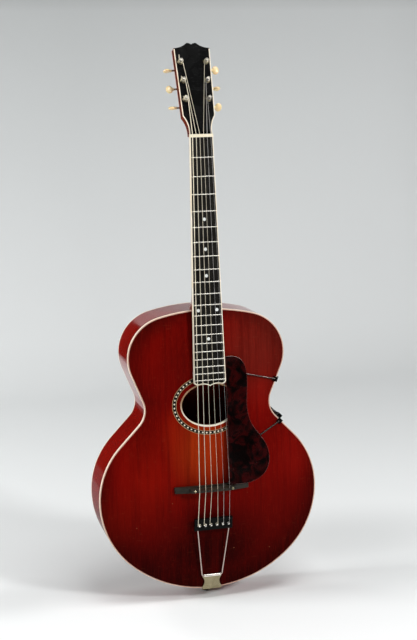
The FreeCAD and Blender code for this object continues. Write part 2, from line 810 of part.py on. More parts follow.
for side in (-1, 1):
    head = stud.Shape.copy()
    head.Placement = FreeCAD.Placement(V(side * stud_half, stud_seat, saddle_z), FreeCAD.Rotation(V(1, 0, 0), 90))
    studs.append(head)
solid_node("bridge_studs", Part.makeCompound(studs))

# Tailpiece frame: hinge on the bracket, leaning so that the string plane meets the saddle.
hinge_z = base + size("hinge_height")
hinge_y = front - arch(0, size("hinge_height"), size("top_arch")) - size("hinge_radius") - size("hinge_clear")
string_plane = size("bar_thickness") / 2 + size("string_stand")
rise_y = saddle_y - hinge_y
rise_z = saddle_z - hinge_z
reach = math.hypot(rise_y, rise_z)
tail_lean = math.atan2(-rise_y, rise_z) - math.asin(string_plane / reach)
tail_frame = FreeCAD.Placement(V(0, hinge_y, hinge_z), FreeCAD.Rotation(V(1, 0, 0), math.degrees(tail_lean)))
saddle_in_tail = tail_frame.inverse().multVec(V(0, saddle_y, saddle_z))


def rounded(corner, before, after, radius):
    # arc that rounds a corner between two straight runs
    come = (corner - before).normalize()
    go = (after - corner).normalize()
    half_turn = come.getAngle(go) / 2
    cut = radius * math.tan(half_turn)
    bulge = (go - come).normalize() * (radius / math.cos(half_turn) - radius)
    return corner - come * cut, corner + bulge, corner + go * cut


def tube(edges, radius):
    wire = Part.Wire(edges)
    start = edges[0].valueAt(edges[0].FirstParameter)
    along = edges[0].tangentAt(edges[0].FirstParameter)
    ring = Part.Wire(Part.Circle(start, along, radius).toShape())
    return wire.makePipeShell([ring], True, False)


wire_run = [
    V(-size("wire_top_spread") / 2, 0, size("bar_distance") + 8),
    V(-size("wire_foot_spread") / 2, 0, 0),
    V(size("wire_foot_spread") / 2, 0, 0),
    V(size("wire_top_spread") / 2, 0, size("bar_distance") + 8),
]
first = rounded(wire_run[1], wire_run[0], wire_run[2], size("wire_bend"))
second = rounded(wire_run[2], wire_run[1], wire_run[3], size("wire_bend"))
wire_edges = [
    Part.LineSegment(wire_run[0], first[0]).toShape(),
    Part.Arc(*first).toShape(),
    Part.LineSegment(first[2], second[0]).toShape(),
    Part.Arc(*second).toShape(),
    Part.LineSegment(second[2], wire_run[3]).toShape(),
]
tail_wire = tube(wire_edges, size("wire_radius"))
solid_node("tailpiece_wire", tail_wire, tail_frame)

bar = new_body("bar_blank")
profile = new_sketch(bar, "YZ_Plane")
foot = "Sizes.bar_distance"
head = "Sizes.bar_distance + Sizes.bar_height"
face = "Sizes.bar_thickness / 2"
polygon(profile, [
    (f"-{face}", f"{foot} + 1"),
    (f"-{face} + 1", foot),
    (face, foot),
    (face, head),
    (f"-{face} - 0.5", head),
    (f"-{face} - 0.5", f"{head} - Sizes.bar_lip"),
    (f"-{face}", f"{head} - Sizes.bar_lip - 0.5"),
])
pad(bar, profile, "Sizes.bar_width", "Symmetric")
doc.recompute()
bar_cut = bar.Shape.cut(tail_wire)
solid_node("tailpiece_bar", bar_cut, tail_frame)

pin = new_body("pin_pattern")
profile = new_sketch(pin, "XZ_Plane")
polygon(profile, [
    ("0", "0"),
    ("Sizes.pin_radius", "0"),
    ("Sizes.pin_radius", "2.4"),
    ("Sizes.pin_head * 0.93", "2.9"),
    ("Sizes.pin_head", "3.7"),
    ("Sizes.pin_head * 0.8", "4.7"),
    ("Sizes.pin_head * 0.4", "5.3"),
    ("0", "5.5"),
])
revolve(pin, profile, "V_Axis")
doc.recompute()
pin_z = size("bar_distance") + size("pin_height")
pins = []
for number in range(6):
    copy = pin.Shape.copy()
    copy.Placement = FreeCAD.Placement(
        V(spread_place("string_spread_tail", number), -size("bar_thickness") / 2, pin_z),
        FreeCAD.Rotation(V(1, 0, 0), 90))
    pins.append(copy)
solid_node("tailpiece_pins", Part.makeCompound(pins), tail_frame)

# Bracket of sheet: rolled hinge, waisted plate over the top's edge, foot under the rim.
bracket = new_body("tailpiece_bracket", FreeCAD.Placement(V(0, 0, base), FreeCAD.Rotation()))
profile = new_sketch(bracket, "YZ_Plane")
edge_y = "-Sizes.rim_depth / 2"
polygon(profile, [
    (f"{hinge_y + 1.3}", "Sizes.hinge_height - 1.6"),
    (f"{edge_y} - 0.4", "-0.15"),
    ("Sizes.bracket_tail", "-0.15"),
    ("Sizes.bracket_tail", "-0.15 - Sizes.bracket_sheet"),
    (f"{edge_y} - 0.4 - Sizes.bracket_sheet", "-0.15 - Sizes.bracket_sheet"),
    (f"{hinge_y + 1.3} - Sizes.bracket_sheet", "Sizes.hinge_height - 1.6"),
])
pad(bracket, profile, "Sizes.bracket_width", "Symmetric")
roll = new_sketch(bracket, "YZ_Plane")
circle(roll, f"{hinge_y}", "Sizes.hinge_height", "Sizes.hinge_radius")
pad(bracket, roll, "Sizes.bracket_width - 5", "Symmetric")
bore = new_sketch(bracket, "YZ_Plane")
circle(bore, f"{hinge_y}", "Sizes.hinge_height", "Sizes.wire_radius + 0.05")
pocket(bracket, bore, "2 * Sizes.bracket_width")
waist = new_sketch(bracket, "XZ_Plane")
for sign in ("-", ""):
    circle(waist, f"{sign}(Sizes.bracket_waist / 2 + 15)", "Sizes.hinge_height - 12", "15")
pocket(bracket, waist, "8 * Sizes.rim_depth")
pin_hole = new_sketch(bracket, "XY_Plane")
circle(pin_hole, "0", "0", "Sizes.end_pin_radius")
pocket(bracket, pin_hole, "10")
keep(bracket, "tailpiece_bracket")

end_pin = new_body("end_pin")
profile = new_sketch(end_pin, "XZ_Plane")
collar = "Sizes.pin_reach - 0.15 - Sizes.bracket_sheet"
half_knob = "Sizes.knob_length / 2"
polygon(profile, [
    ("0", "Sizes.pin_reach + 22"),
    ("Sizes.end_pin_radius - 0.4", "Sizes.pin_reach + 22"),
    ("Sizes.end_pin_radius", "Sizes.pin_reach + 21"),
    ("Sizes.end_pin_radius", collar),
    ("Sizes.end_pin_radius + 1.8", collar),
    ("Sizes.end_pin_radius + 1.4", f"{collar} - 1.8"),
    ("Sizes.end_pin_radius - 0.6", f"{collar} - 3"),
    ("Sizes.end_pin_radius - 0.9", f"{half_knob} + 2.6"),
    ("Sizes.knob_radius - 1", f"{half_knob} + 0.6"),
    ("Sizes.knob_radius", half_knob),
    ("Sizes.knob_radius", f"-{half_knob}"),
    ("Sizes.knob_radius - 1", f"-{half_knob} - 0.8"),
    ("Sizes.knob_radius - 3", f"-{half_knob} - 1.3"),
    ("0", f"-{half_knob} - 1.5"),
])
revolve(end_pin, profile, "V_Axis")
keep(end_pin, "end_pin")


# Strings: looped on their pins, over saddle and nut, then coiled on their posts.
def biarc(start, start_dir, finish, finish_dir):
    chord = finish - start
    both = start_dir + finish_dir
    square = 2 * (1 - start_dir.dot(finish_dir))
    slope = chord.dot(both)
    arm = (-slope + math.sqrt(slope ** 2 + square * chord.dot(chord))) / square
    one = start + start_dir * arm
    two = finish - finish_dir * arm
    middle = (one + two) * 0.5
    arcs = []
    for a, corner, b in ((start, one, middle), (middle, two, finish)):
        inward = ((a + b) * 0.5 - corner)
        half_turn = (corner - a).getAngle(b - corner) / 2
        radius = arm / math.tan(half_turn)
        bulge = inward.normalize() * (radius / math.cos(half_turn) - radius)
        arcs.append(Part.Arc(a, corner + bulge, b).toShape())
    return arcs


def string_solid(number):
    gauge = gauges[number]
    treble = number > 2
    # loop round the pin, in the leaning plane of the tailpiece
    loop = size("pin_radius") + gauge + 0.08
    centre = V(spread_place("string_spread_tail", number), -string_plane, pin_z)
    saddle_point = V(spread_place("string_spread_saddle", number), -string_plane, saddle_in_tail.z)
    away = saddle_point - centre
    bearing = math.atan2(away.z, away.x)
    side = 1 if treble else -1
    leave = bearing - side * math.acos(loop / away.Length)
    angles = [leave - side * math.radians(step) for step in (300, 225, 150, 75, 0)]
    ring = [tail_frame.multVec(centre + V(math.cos(a), 0, math.sin(a)) * loop) for a in angles]
    edges = [Part.Arc(ring[0], ring[1], ring[2]).toShape(), Part.Arc(ring[2], ring[3], ring[4]).toShape()]
    # straight runs with rounded bends at the saddle and the nut
    saddle_corner = tail_frame.multVec(saddle_point)
    nut_corner = board_frame.multVec(
        V(spread_place("string_spread_nut", number), -size("string_rise_nut"), size("nut_thickness")))
    # the outer string goes to the post nearest the nut
    step = 4 - number if treble else number - 1
    post = next(frame for at, place, frame, local in posts if at == side and place == step)
    coil = size("post_radius") + 0.1 + gauge
    local = post.inverse().multVec(nut_corner)
    gap = math.hypot(local.x, local.z)
    bearing = math.atan2(local.z, local.x)
    touch = bearing - side * math.acos(coil / gap)
    level = local.y
    pitch = 2 * gauge + size("coil_gap")

    def coil_point(turn):
        angle = touch - side * turn * 2 * math.pi
        return V(coil * math.cos(angle), level - pitch * turn, coil * math.sin(angle))

    def coil_direction(turn):
        angle = touch - side * turn * 2 * math.pi
        rate = -side * 2 * math.pi * coil
        return V(-rate * math.sin(angle), -pitch, rate * math.cos(angle)).normalize()

    quarters = [i / 4 for i in range(int(size("post_turns") * 4) + 1)]
    points = [post.multVec(coil_point(turn)) for turn in quarters]
    directions = [post.Rotation.multVec(coil_direction(turn)) for turn in quarters]
    directions[0] = (points[0] - nut_corner).normalize()
    bend = size("bend_radius")
    over_saddle = rounded(saddle_corner, ring[4], nut_corner, bend)
    over_nut = rounded(nut_corner, saddle_corner, points[0], bend)
    edges.append(Part.LineSegment(ring[4], over_saddle[0]).toShape())
    edges.append(Part.Arc(*over_saddle).toShape())
    edges.append(Part.LineSegment(over_saddle[2], over_nut[0]).toShape())
    edges.append(Part.Arc(*over_nut).toShape())
    edges.append(Part.LineSegment(over_nut[2], points[0]).toShape())
    turns = []
    for a, b, c, d in zip(points[:-1], directions[:-1], points[1:], directions[1:]):
        turns += biarc(a, b, c, d)
    coil_gap(number, turns, gauge)
    return tube(edges + turns, gauge)


def coil_gap(number, arcs, gauge):
    # least gap of the coil to its own next turn, measured on points along it
    samples = []
    for arc in arcs:
        for point in arc.discretize(9)[:-1]:
            samples.append(point)
    turn = len(samples) / size("post_turns")
    least = 1e9
    for i in range(len(samples)):
        for j in range(i + int(turn / 2), len(samples)):
            least = min(least, (samples[i] - samples[j]).Length)
    print(f"string {number + 1}: coil gap {least - 2 * gauge:.2f} mm")


strings = [string_solid(number) for number in range(6)]
solid_node("wound_strings", Part.makeCompound(strings[:4]))
solid_node("plain_strings", Part.makeCompound(strings[4:]))

# Tuning machines. Plate frame: X outward, Y behind the headstock, Z along it.
plate_frame = posts[1][2]
tuner_plate = new_body("tuner_plate_treble", plate_frame)
strip = new_sketch(tuner_plate, "XZ_Plane")
half_plate = "Sizes.tuner_plate_width / 2"
worm_drop = "(Sizes.gear_teeth * Sizes.tooth_module / 2 + Sizes.worm_radius)"
plate_low = f"(-Sizes.post_pitch - {worm_drop} - Sizes.tuner_plate_margin)"
plate_high = "(Sizes.post_pitch + Sizes.tuner_plate_margin)"
polygon(strip, [
    (f"-{half_plate}", plate_low),
    (half_plate, plate_low),
    (half_plate, plate_high),
    (f"-{half_plate}", plate_high),
])
pad(tuner_plate, strip, "Sizes.tuner_sheet", "One side", True)
ear_foot = "(Sizes.worm_length / 2 + Sizes.ear_gap)"
worm_rise = "(Sizes.gear_stand + Sizes.gear_thickness / 2)"
ears = new_sketch(tuner_plate, "XZ_Plane")
for step in (-1, 0, 1):
    along = f"{step} * Sizes.post_pitch - {worm_drop}"
    for sign in ("-", ""):
        inner = f"{sign}{ear_foot}"
        outer = f"{sign}({ear_foot} + Sizes.ear_thickness)"
        polygon(ears, [
            (inner, f"{along} - 3"),
            (outer, f"{along} - 3"),
            (outer, f"{along} + 3"),
            (inner, f"{along} + 3"),
        ])
pad(tuner_plate, ears, f"{worm_rise} + 3", "One side", True)
post_holes = new_sketch(tuner_plate, "XZ_Plane")
key_holes = new_sketch(tuner_plate, "YZ_Plane")
for step in (-1, 0, 1):
    circle(post_holes, "0", f"{step} * Sizes.post_pitch", "Sizes.post_radius + 0.2")
    circle(key_holes, worm_rise, f"{step} * Sizes.post_pitch - {worm_drop}", "Sizes.key_radius + Sizes.running_fit")
pocket(tuner_plate, post_holes, "20")
pocket(tuner_plate, key_holes, "4 * Sizes.tuner_plate_width")
keep(tuner_plate, "tuner_plate_treble")
mirror = doc.addObject("Part::Mirroring", "tuner_plate_bass")
mirror.Source = tuner_plate
mirror.Base = V(0, 0, 0)
mirror.Normal = V(1, 0, 0)
keep(mirror, "tuner_plate_bass")

bushing = new_body("bushing_pattern")
profile = new_sketch(bushing, "XY_Plane")
face_y = "(-Sizes.head_thickness - Sizes.veneer)"
polygon(profile, [
    ("Sizes.post_radius + Sizes.running_fit", f"{face_y} - Sizes.bushing_rise"),
    ("Sizes.bushing_flange - 0.7", f"{face_y} - Sizes.bushing_rise"),
    ("Sizes.bushing_flange", f"{face_y} - 0.5"),
    ("Sizes.bushing_flange", face_y),
    ("Sizes.bushing_radius", face_y),
    ("Sizes.bushing_radius", f"{face_y} + 8"),
    ("Sizes.post_radius + Sizes.running_fit", f"{face_y} + 8"),
])
revolve(bushing, profile, "V_Axis")

post = new_body("post_pattern")
profile = new_sketch(post, "XY_Plane")
tip = f"{face_y} - Sizes.post_rise"
polygon(profile, [
    ("0", f"{tip} + 0.6"),
    ("Sizes.post_radius - 1.5", f"{tip} + 0.4"),
    ("Sizes.post_radius - 1.1", tip),
    ("Sizes.post_radius - 0.4", tip),
    ("Sizes.post_radius", f"{tip} + 0.5"),
    ("Sizes.post_radius", "Sizes.tuner_sheet + 0.2"),
    ("Sizes.post_radius + 1.2", "Sizes.tuner_sheet + 0.2"),
    ("Sizes.post_radius + 1.2", "Sizes.gear_stand"),
    ("Sizes.post_radius - 0.9", "Sizes.gear_stand"),
    ("Sizes.post_radius - 0.9", "Sizes.gear_stand + Sizes.gear_thickness"),
    ("0", "Sizes.gear_stand + Sizes.gear_thickness"),
])
revolve(post, profile, "V_Axis")
cross_hole = new_sketch(post, "YZ_Plane")
circle(cross_hole, f"{tip} + 2.2", "0", "0.8")
pocket(post, cross_hole, "20")

gear_screw = new_body("gear_screw_pattern")
profile = new_sketch(gear_screw, "XY_Plane")
seat = "(Sizes.gear_stand + Sizes.gear_thickness)"
polygon(profile, [
    ("0", seat),
    ("3.2", seat),
    ("3.1", f"{seat} + 0.7"),
    ("2.2", f"{seat} + 1.3"),
    ("0", f"{seat} + 1.5"),
])
revolve(gear_screw, profile, "V_Axis")
screw_slot = new_sketch(gear_screw, "YZ_Plane")
polygon(screw_slot, [
    (f"{seat} + 0.8", "-0.35"),
    (f"{seat} + 2", "-0.35"),
    (f"{seat} + 2", "0.35"),
    (f"{seat} + 0.8", "0.35"),
])
pocket(gear_screw, screw_slot, "20")
doc.recompute()

# Gear with slanted teeth that follow the worm's lead.
teeth = int(size("gear_teeth"))
module = size("tooth_module")
pitch_radius = teeth * module / 2
lead = math.pi * module
lead_angle = math.atan(lead / (2 * math.pi * size("worm_radius")))


def gear_wire(depth, twist):
    tip_radius = pitch_radius + size("tooth_rise")
    root_radius = pitch_radius - size("tooth_sink")
    tip_half = 0.27
    root_half = 0.62
    points = []
    for tooth in range(teeth):
        middle = -math.pi / 2 + 2 * math.pi * tooth / teeth
        for radius, half in ((root_radius, -root_half), (tip_radius, -tip_half),
                             (tip_radius, tip_half), (root_radius, root_half)):
            angle = middle + half / radius - twist
            points.append(V(radius * math.cos(angle), depth, radius * math.sin(angle)))
    return Part.makePolygon(points + points[:1])


gear_low = size("gear_stand")
gear_high = gear_low + size("gear_thickness")
half_twist = math.tan(lead_angle) * size("gear_thickness") / 2 / pitch_radius
gear = Part.makeLoft([gear_wire(gear_low, -half_twist), gear_wire(gear_high, half_twist)], True, True)
gear_bore = size("post_radius") - 0.9 + size("running_fit")
gear = gear.cut(Part.makeCylinder(gear_bore, 2 * gear_high, V(0, -gear_high / 2, 0), V(0, 1, 0)))

# Worm: right-hand thread on a shaft that turns in the plate's two ears.
worm_outer = size("worm_radius") + size("tooth_rise")
worm_core = size("worm_radius") - size("tooth_sink")
thread_length = size("worm_length") - 3.1
turns_before = thread_length / 2 / lead
helix = Part.makeHelix(lead, thread_length, worm_core)
ridge_root = 0.66
ridge_tip = 0.30
sunk = 0.25
ridge_corners = [
    V(worm_core - sunk, 0, -ridge_root),
    V(worm_outer, 0, -ridge_tip),
    V(worm_outer, 0, ridge_tip),
    V(worm_core - sunk, 0, ridge_root),
]
ridge = Part.Wire(helix).makePipeShell([Part.makePolygon(ridge_corners + ridge_corners[:1])], True, True)
ridge.translate(V(0, 0, -thread_length / 2))
# turned so that a gap of the thread faces the gear at the middle of the worm
ridge.rotate(V(0, 0, 0), V(0, 0, 1), 180 - 360 * turns_before + 180)
key = new_body("key_pattern")
profile = new_sketch(key, "XZ_Plane")
half_worm = "Sizes.worm_length / 2"
core = "(Sizes.worm_radius - Sizes.tooth_sink)"
button_end = "(Sizes.button_reach - Sizes.button_length / 2 + 5)"
polygon(profile, [
    ("0", f"-{half_worm} - 4"),
    ("Sizes.key_radius", f"-{half_worm} - 4"),
    ("Sizes.key_radius", f"-{half_worm}"),
    (f"{core} + 0.7", f"-{half_worm}"),
    (f"{core} + 0.7", f"-{half_worm} + 0.7"),
    (core, f"-{half_worm} + 0.7"),
    (core, f"{half_worm} - 0.7"),
    (f"{core} + 0.7", f"{half_worm} - 0.7"),
    (f"{core} + 0.7", half_worm),
    ("Sizes.key_radius", half_worm),
    ("Sizes.key_radius", button_end),
    ("0", button_end),
])
revolve(key, profile, "V_Axis")
doc.recompute()
button_start = size("button_reach") - size("button_length") / 2
worm = key.Shape.fuse(ridge)
worm.rotate(V(0, 0, 0), V(0, 1, 0), 90)

knob = doc.addObject("Part::Ellipsoid", "button_oval")
knob.Angle1 = -90
knob.Angle2 = 90
knob.Angle3 = 360
knob.setExpression("Radius1", "Sizes.button_thickness / 2")
knob.setExpression("Radius2", "Sizes.button_length / 2")
knob.setExpression("Radius3", "Sizes.button_width / 2")
doc.recompute()
button = knob.Shape.copy()
button.translate(V(size("button_reach"), 0, 0))
neck_ring = Part.makeCylinder(2.7, 3.4, V(button_start - 1.6, 0, 0), V(1, 0, 0))
button = button.fuse(neck_ring)
button = button.cut(Part.makeCylinder(size("key_radius"), 20, V(button_start + 5 - 20, 0, 0), V(1, 0, 0)))

# One machine on each post; the buttons stand at different turns as a player leaves them.
worm_y = size("gear_stand") + size("gear_thickness") / 2
worm_z = -(pitch_radius + size("worm_radius"))
button_turns = {(1, -1): 35, (1, 0): 90, (1, 1): 5, (-1, -1): 70, (-1, 0): 10, (-1, 1): 85}
side_names = {1: "treble", -1: "bass"}
bushings = []
for side, step, frame, local in posts:
    name = f"{side_names[side]}_{step + 2}"
    parts = [post.Shape.copy(), gear.copy(), gear_screw.Shape.copy()]
    solid_node(f"post_{name}", Part.makeCompound(parts), frame)
    ring = bushing.Shape.copy()
    ring.Placement = frame
    bushings.append(ring)
    turn = FreeCAD.Rotation() if side > 0 else FreeCAD.Rotation(V(0, 0, 1), 180)
    key_frame = frame.multiply(FreeCAD.Placement(V(0, worm_y, worm_z), turn))
    solid_node(f"worm_{name}", worm.copy(), key_frame)
    spin = FreeCAD.Placement(V(0, 0, 0), FreeCAD.Rotation(V(1, 0, 0), 90 + button_turns[(side, step)]))
    solid_node(f"button_{name}", button.copy(), key_frame.multiply(spin))
solid_node("tuner_bushings", Part.makeCompound(bushings))

# Small round-headed screws: at the ends of the tuner plates and under the tailpiece bracket.
screw = new_body("screw_pattern")
profile = new_sketch(screw, "XZ_Plane")
polygon(profile, [
    ("0", "0"),
    ("2.4", "0"),
    ("2.1", "0.9"),
    ("1.2", "1.5"),
    ("0", "1.7"),
])
revolve(screw, profile, "V_Axis")
doc.recompute()
screw_places = []
for side, middle in ((1, posts[1][2]), (-1, posts[4][2])):
    low = worm_z - size("post_pitch") - size("tuner_plate_margin") + 3.5
    high = size("post_pitch") + size("tuner_plate_margin") - 3.5
    for along in (low, high):
        seat_at = V(0, size("tuner_sheet"), along)
        screw_places.append(middle.multiply(FreeCAD.Placement(seat_at, FreeCAD.Rotation(V(1, 0, 0), -90))))
    for along in (-0.5, 0.5):
        seat_at = V(0, size("tuner_sheet"), along * size("post_pitch") + 3)
        screw_places.append(middle.multiply(FreeCAD.Placement(seat_at, FreeCAD.Rotation(V(1, 0, 0), -90))))
under_rim = base - 0.15 - size("bracket_sheet")
for x in (-10, 10):
    screw_places.append(FreeCAD.Placement(V(x, front / 2, under_rim), FreeCAD.Rotation(V(1, 0, 0), 180)))
heads = []
for place in screw_places:
    copy = screw.Shape.copy()
    copy.Placement = place
    heads.append(copy)
solid_node("small_screws", Part.makeCompound(heads))


# Finger rest: flat plate beside the board, level just under the strings.
def rest_place(x, height):
    return V(x, 0, (base + height - nut_z) / math.cos(lean))


inner = size("rest_inner_edge")
low_edge = saddle_z - base + 6.2
high_edge = low_edge + size("rest_length")
upper = size("rest_upper_width")
lower = size("rest_lower_width")
length = size("rest_length")
rest_points = [
    (0.30 * upper, length),
    (0.80 * upper, length * 0.958),
    (upper, length * 0.868),
    (upper * 0.975, length * 0.655),
    (upper * 1.17, length * 0.465),
    (lower * 0.83, length * 0.352),
    (lower, length * 0.215),
    (lower * 0.90, length * 0.078),
    (lower * 0.62, length * 0.016),
    (0.30 * lower, 0),
]
curve_points = [rest_place(inner + x, low_edge + z) for x, z in rest_points]
curve = Part.BSplineCurve()
curve.interpolate(curve_points)
corner_low = rest_place(inner, low_edge)
corner_high = rest_place(inner, high_edge)
rest_wire = Part.Wire([
    Part.LineSegment(corner_high, curve_points[0]).toShape(),
    curve.toShape(),
    Part.LineSegment(curve_points[-1], corner_low).toShape(),
    Part.LineSegment(corner_low, corner_high).toShape(),
])
rest = Part.Face(rest_wire).extrude(V(0, size("rest_thickness"), 0)).translated(V(0, size("rest_sink"), 0))
solid_node("finger_rest", rest, board_frame)

# Clamps on the treble rim: each stands on a straight run of the outline, X out of the rim.
upper_run = (joints[6], joints[7], 0.5)
lower_run = (joints[3], joints[4], 0.75)
foot_spots = {
    "upper": (inner + upper * 0.80, low_edge + length * 0.86),
    "lower": (inner + lower * 0.78, low_edge + length * 0.36),
}
rim_half = "Sizes.rim_depth / 2"
lap_out = "(Sizes.clamp_side_gap + Sizes.clamp_sheet)"
lug_out = "(Sizes.barrel_offset + Sizes.barrel_rod + 1.8)"
for name, (begin, finish, share) in (("upper", upper_run), ("lower", lower_run)):
    spot = begin[0] + (finish[0] - begin[0]) * share
    normal = begin[1]
    swing = math.degrees(math.atan2(-normal.y, normal.x))
    clamp_frame = FreeCAD.Placement(in_plane(spot, 1, 0), FreeCAD.Rotation(V(0, 1, 0), swing))
    hooks = []
    for sign, way in (("-", "front"), ("", "back")):
        hook = new_body(f"{name}_{way}_hook", clamp_frame)
        profile = new_sketch(hook, "XY_Plane")
        outside = f"{sign}({rim_half} + Sizes.clamp_gap + Sizes.clamp_sheet)"
        inside = f"{sign}({rim_half} + Sizes.clamp_gap)"
        lug_far = f"{sign}(Sizes.clamp_reach + Sizes.clamp_lug)"
        lug_near = f"{sign}Sizes.clamp_reach"
        polygon(profile, [
            ("-Sizes.clamp_lap", outside),
            (lap_out, outside),
            (lap_out, lug_far),
            (lug_out, lug_far),
            (lug_out, lug_near),
            ("Sizes.clamp_side_gap", lug_near),
            ("Sizes.clamp_side_gap", inside),
            ("-Sizes.clamp_lap", inside),
        ])
        pad(hook, profile, "Sizes.clamp_width", "Symmetric")
        rod_hole = new_sketch(hook, "XZ_Plane")
        circle(rod_hole, "Sizes.barrel_offset", "0", "Sizes.barrel_rod + Sizes.running_fit")
        pocket(hook, rod_hole, "4 * Sizes.clamp_reach")
        hooks.append(hook)
    barrel = new_body(f"{name}_clamp_barrel", clamp_frame.multiply(
        FreeCAD.Placement(V(size("barrel_offset"), 0, 0), FreeCAD.Rotation())))
    profile = new_sketch(barrel, "XY_Plane")
    rod_end = "(Sizes.clamp_reach + Sizes.clamp_lug + 3)"
    thick_end = "(Sizes.barrel_length / 2)"
    polygon(profile, [
        ("0", f"-{rod_end}"),
        ("Sizes.barrel_rod", f"-{rod_end}"),
        ("Sizes.barrel_rod", f"-{thick_end}"),
        ("Sizes.barrel_radius - 0.5", f"-{thick_end}"),
        ("Sizes.barrel_radius", f"-{thick_end} + 0.6"),
        ("Sizes.barrel_radius", f"{thick_end} - 0.6"),
        ("Sizes.barrel_radius - 0.5", thick_end),
        ("Sizes.barrel_rod", thick_end),
        ("Sizes.barrel_rod", rod_end),
        ("0", rod_end),
    ])
    revolve(barrel, profile, "V_Axis")
    keyholes = new_sketch(barrel, "XY_Plane")
    for end in ("-", ""):
        circle(keyholes, "0", f"{end}Sizes.barrel_length / 4", "0.9")
    pocket(barrel, keyholes, "20")
    keep(barrel, f"{name}_clamp_barrel")
    keep(hooks[1], f"{name}_clamp_hook")
    doc.recompute()
    # arm from the front hook to a round foot under the rest
    foot_x, foot_height = foot_spots[name]
    under_rest = size("rest_sink") + size("rest_thickness")
    foot_low = rest_place(foot_x, foot_height) + V(0, under_rest, 0)
    foot = Part.makeCylinder(size("rest_foot") / 2 + 1, 1.6, foot_low, V(0, 1, 0))
    foot.Placement = board_frame
    hook_y = front - size("clamp_gap") - size("clamp_sheet") / 2
    hook_point = clamp_frame.multVec(V(-size("clamp_lap") / 2, hook_y, 0))
    foot_point = board_frame.multVec(foot_low + V(0, 2.0, 0))
    run = foot_point - hook_point
    arm = Part.makeCylinder(1.5, run.Length, hook_point, run)
    solid_node(f"{name}_clamp_bracket", joined([hooks[0].Shape.copy(), arm, foot]))

doc.recompute()
for item in doc.Objects:
    if "Invalid" in item.State or "Error" in item.State:
        raise RuntimeError(f"{item.Label} did not build: {item.State}")
for item in nodes:
    if item.Shape.isNull() or not item.Shape.isValid() or not item.Shape.Solids:
        raise RuntimeError(f"{item.Label} is not a sound solid")
for item in nodes:
    item.Shape.exportStep(f"parts/{item.Label}.step")
    box = item.Shape.BoundBox
    print(f"{item.Label}: {len(item.Shape.Solids)} solids, {item.Shape.Volume / 1000:.2f} cm3, "
          f"{box.XLength:.1f} x {box.YLength:.1f} x {box.ZLength:.1f}")
print(len(nodes), "nodes")
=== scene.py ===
import bpy
import bmesh
import json
import math
from mathutils import Matrix, Vector
from mathutils.bvhtree import BVHTree


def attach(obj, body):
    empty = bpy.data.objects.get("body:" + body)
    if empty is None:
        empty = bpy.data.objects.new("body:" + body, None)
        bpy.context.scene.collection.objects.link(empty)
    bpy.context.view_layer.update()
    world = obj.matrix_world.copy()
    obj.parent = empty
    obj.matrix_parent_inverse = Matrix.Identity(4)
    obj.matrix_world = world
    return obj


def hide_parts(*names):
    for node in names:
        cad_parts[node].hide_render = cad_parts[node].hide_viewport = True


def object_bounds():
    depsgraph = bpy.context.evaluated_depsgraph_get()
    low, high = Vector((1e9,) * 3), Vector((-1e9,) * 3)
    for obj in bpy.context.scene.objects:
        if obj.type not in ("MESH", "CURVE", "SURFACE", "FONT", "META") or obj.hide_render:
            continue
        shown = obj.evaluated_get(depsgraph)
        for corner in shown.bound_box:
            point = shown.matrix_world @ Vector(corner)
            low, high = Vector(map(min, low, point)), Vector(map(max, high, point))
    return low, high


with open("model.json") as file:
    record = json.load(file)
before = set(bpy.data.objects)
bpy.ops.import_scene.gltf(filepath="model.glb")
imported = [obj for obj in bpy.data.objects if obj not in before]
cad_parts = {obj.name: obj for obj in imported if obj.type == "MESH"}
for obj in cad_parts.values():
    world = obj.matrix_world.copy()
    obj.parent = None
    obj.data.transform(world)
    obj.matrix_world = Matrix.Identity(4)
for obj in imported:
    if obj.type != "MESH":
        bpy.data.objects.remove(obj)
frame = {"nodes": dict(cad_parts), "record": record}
solid_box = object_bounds()

# Camera. A long lens at the height of the headstock and a little to the bass side, aimed where the neck
# meets the body, and turned a degree so that the neck leans as it does in the picture of 417 by 640.
picture_high = 640.0
focal_pixels = 1307.3
stand_off = 2.3451
azimuth = math.radians(14.453)
elevation = math.radians(9.312)
lean = math.radians(-1.156)
aim = Vector((0.00521, -0.042, 0.51717))
away = Vector((
    -math.sin(azimuth) * math.cos(elevation),
    -math.cos(azimuth) * math.cos(elevation),
    math.sin(elevation),
))
lens = bpy.data.cameras.new("picture_camera")
lens.sensor_width = 36.0
lens.lens = focal_pixels * lens.sensor_width / picture_high
lens.clip_end = 50.0
camera = bpy.data.objects.new("picture_camera", lens)
bpy.context.scene.collection.objects.link(camera)
camera.rotation_mode = "QUATERNION"
camera.location = aim + away * stand_off
level = away.to_track_quat("Z", "Y")
camera.rotation_quaternion = level @ Matrix.Rotation(lean, 3, "Z").to_quaternion()
bpy.context.scene.camera = camera
bpy.context.scene.view_settings.view_transform = "Standard"

# Studio. One sheet of pale paper makes the floor and curves up behind. Light and shade are painted on
# it: it is paler to the treble side and in front, and darker as it rises and above the picture. Four
# soft boxes light it: a key in front on the treble side, one on the bass side, a wide one overhead and
# a weak one behind.
floor_gap = 0.0005
floor_level = solid_box[0].z - floor_gap
paper_side = 4.0
paper_front = -4.0
bend_start = 1.7
bend_radius = 0.9
bend_steps = 24
wall_rise = 2.6


def only(kind, geometry):
    """The vertices or the edges among what a mesh operator gives back."""
    return [part for part in geometry if isinstance(part, kind)]


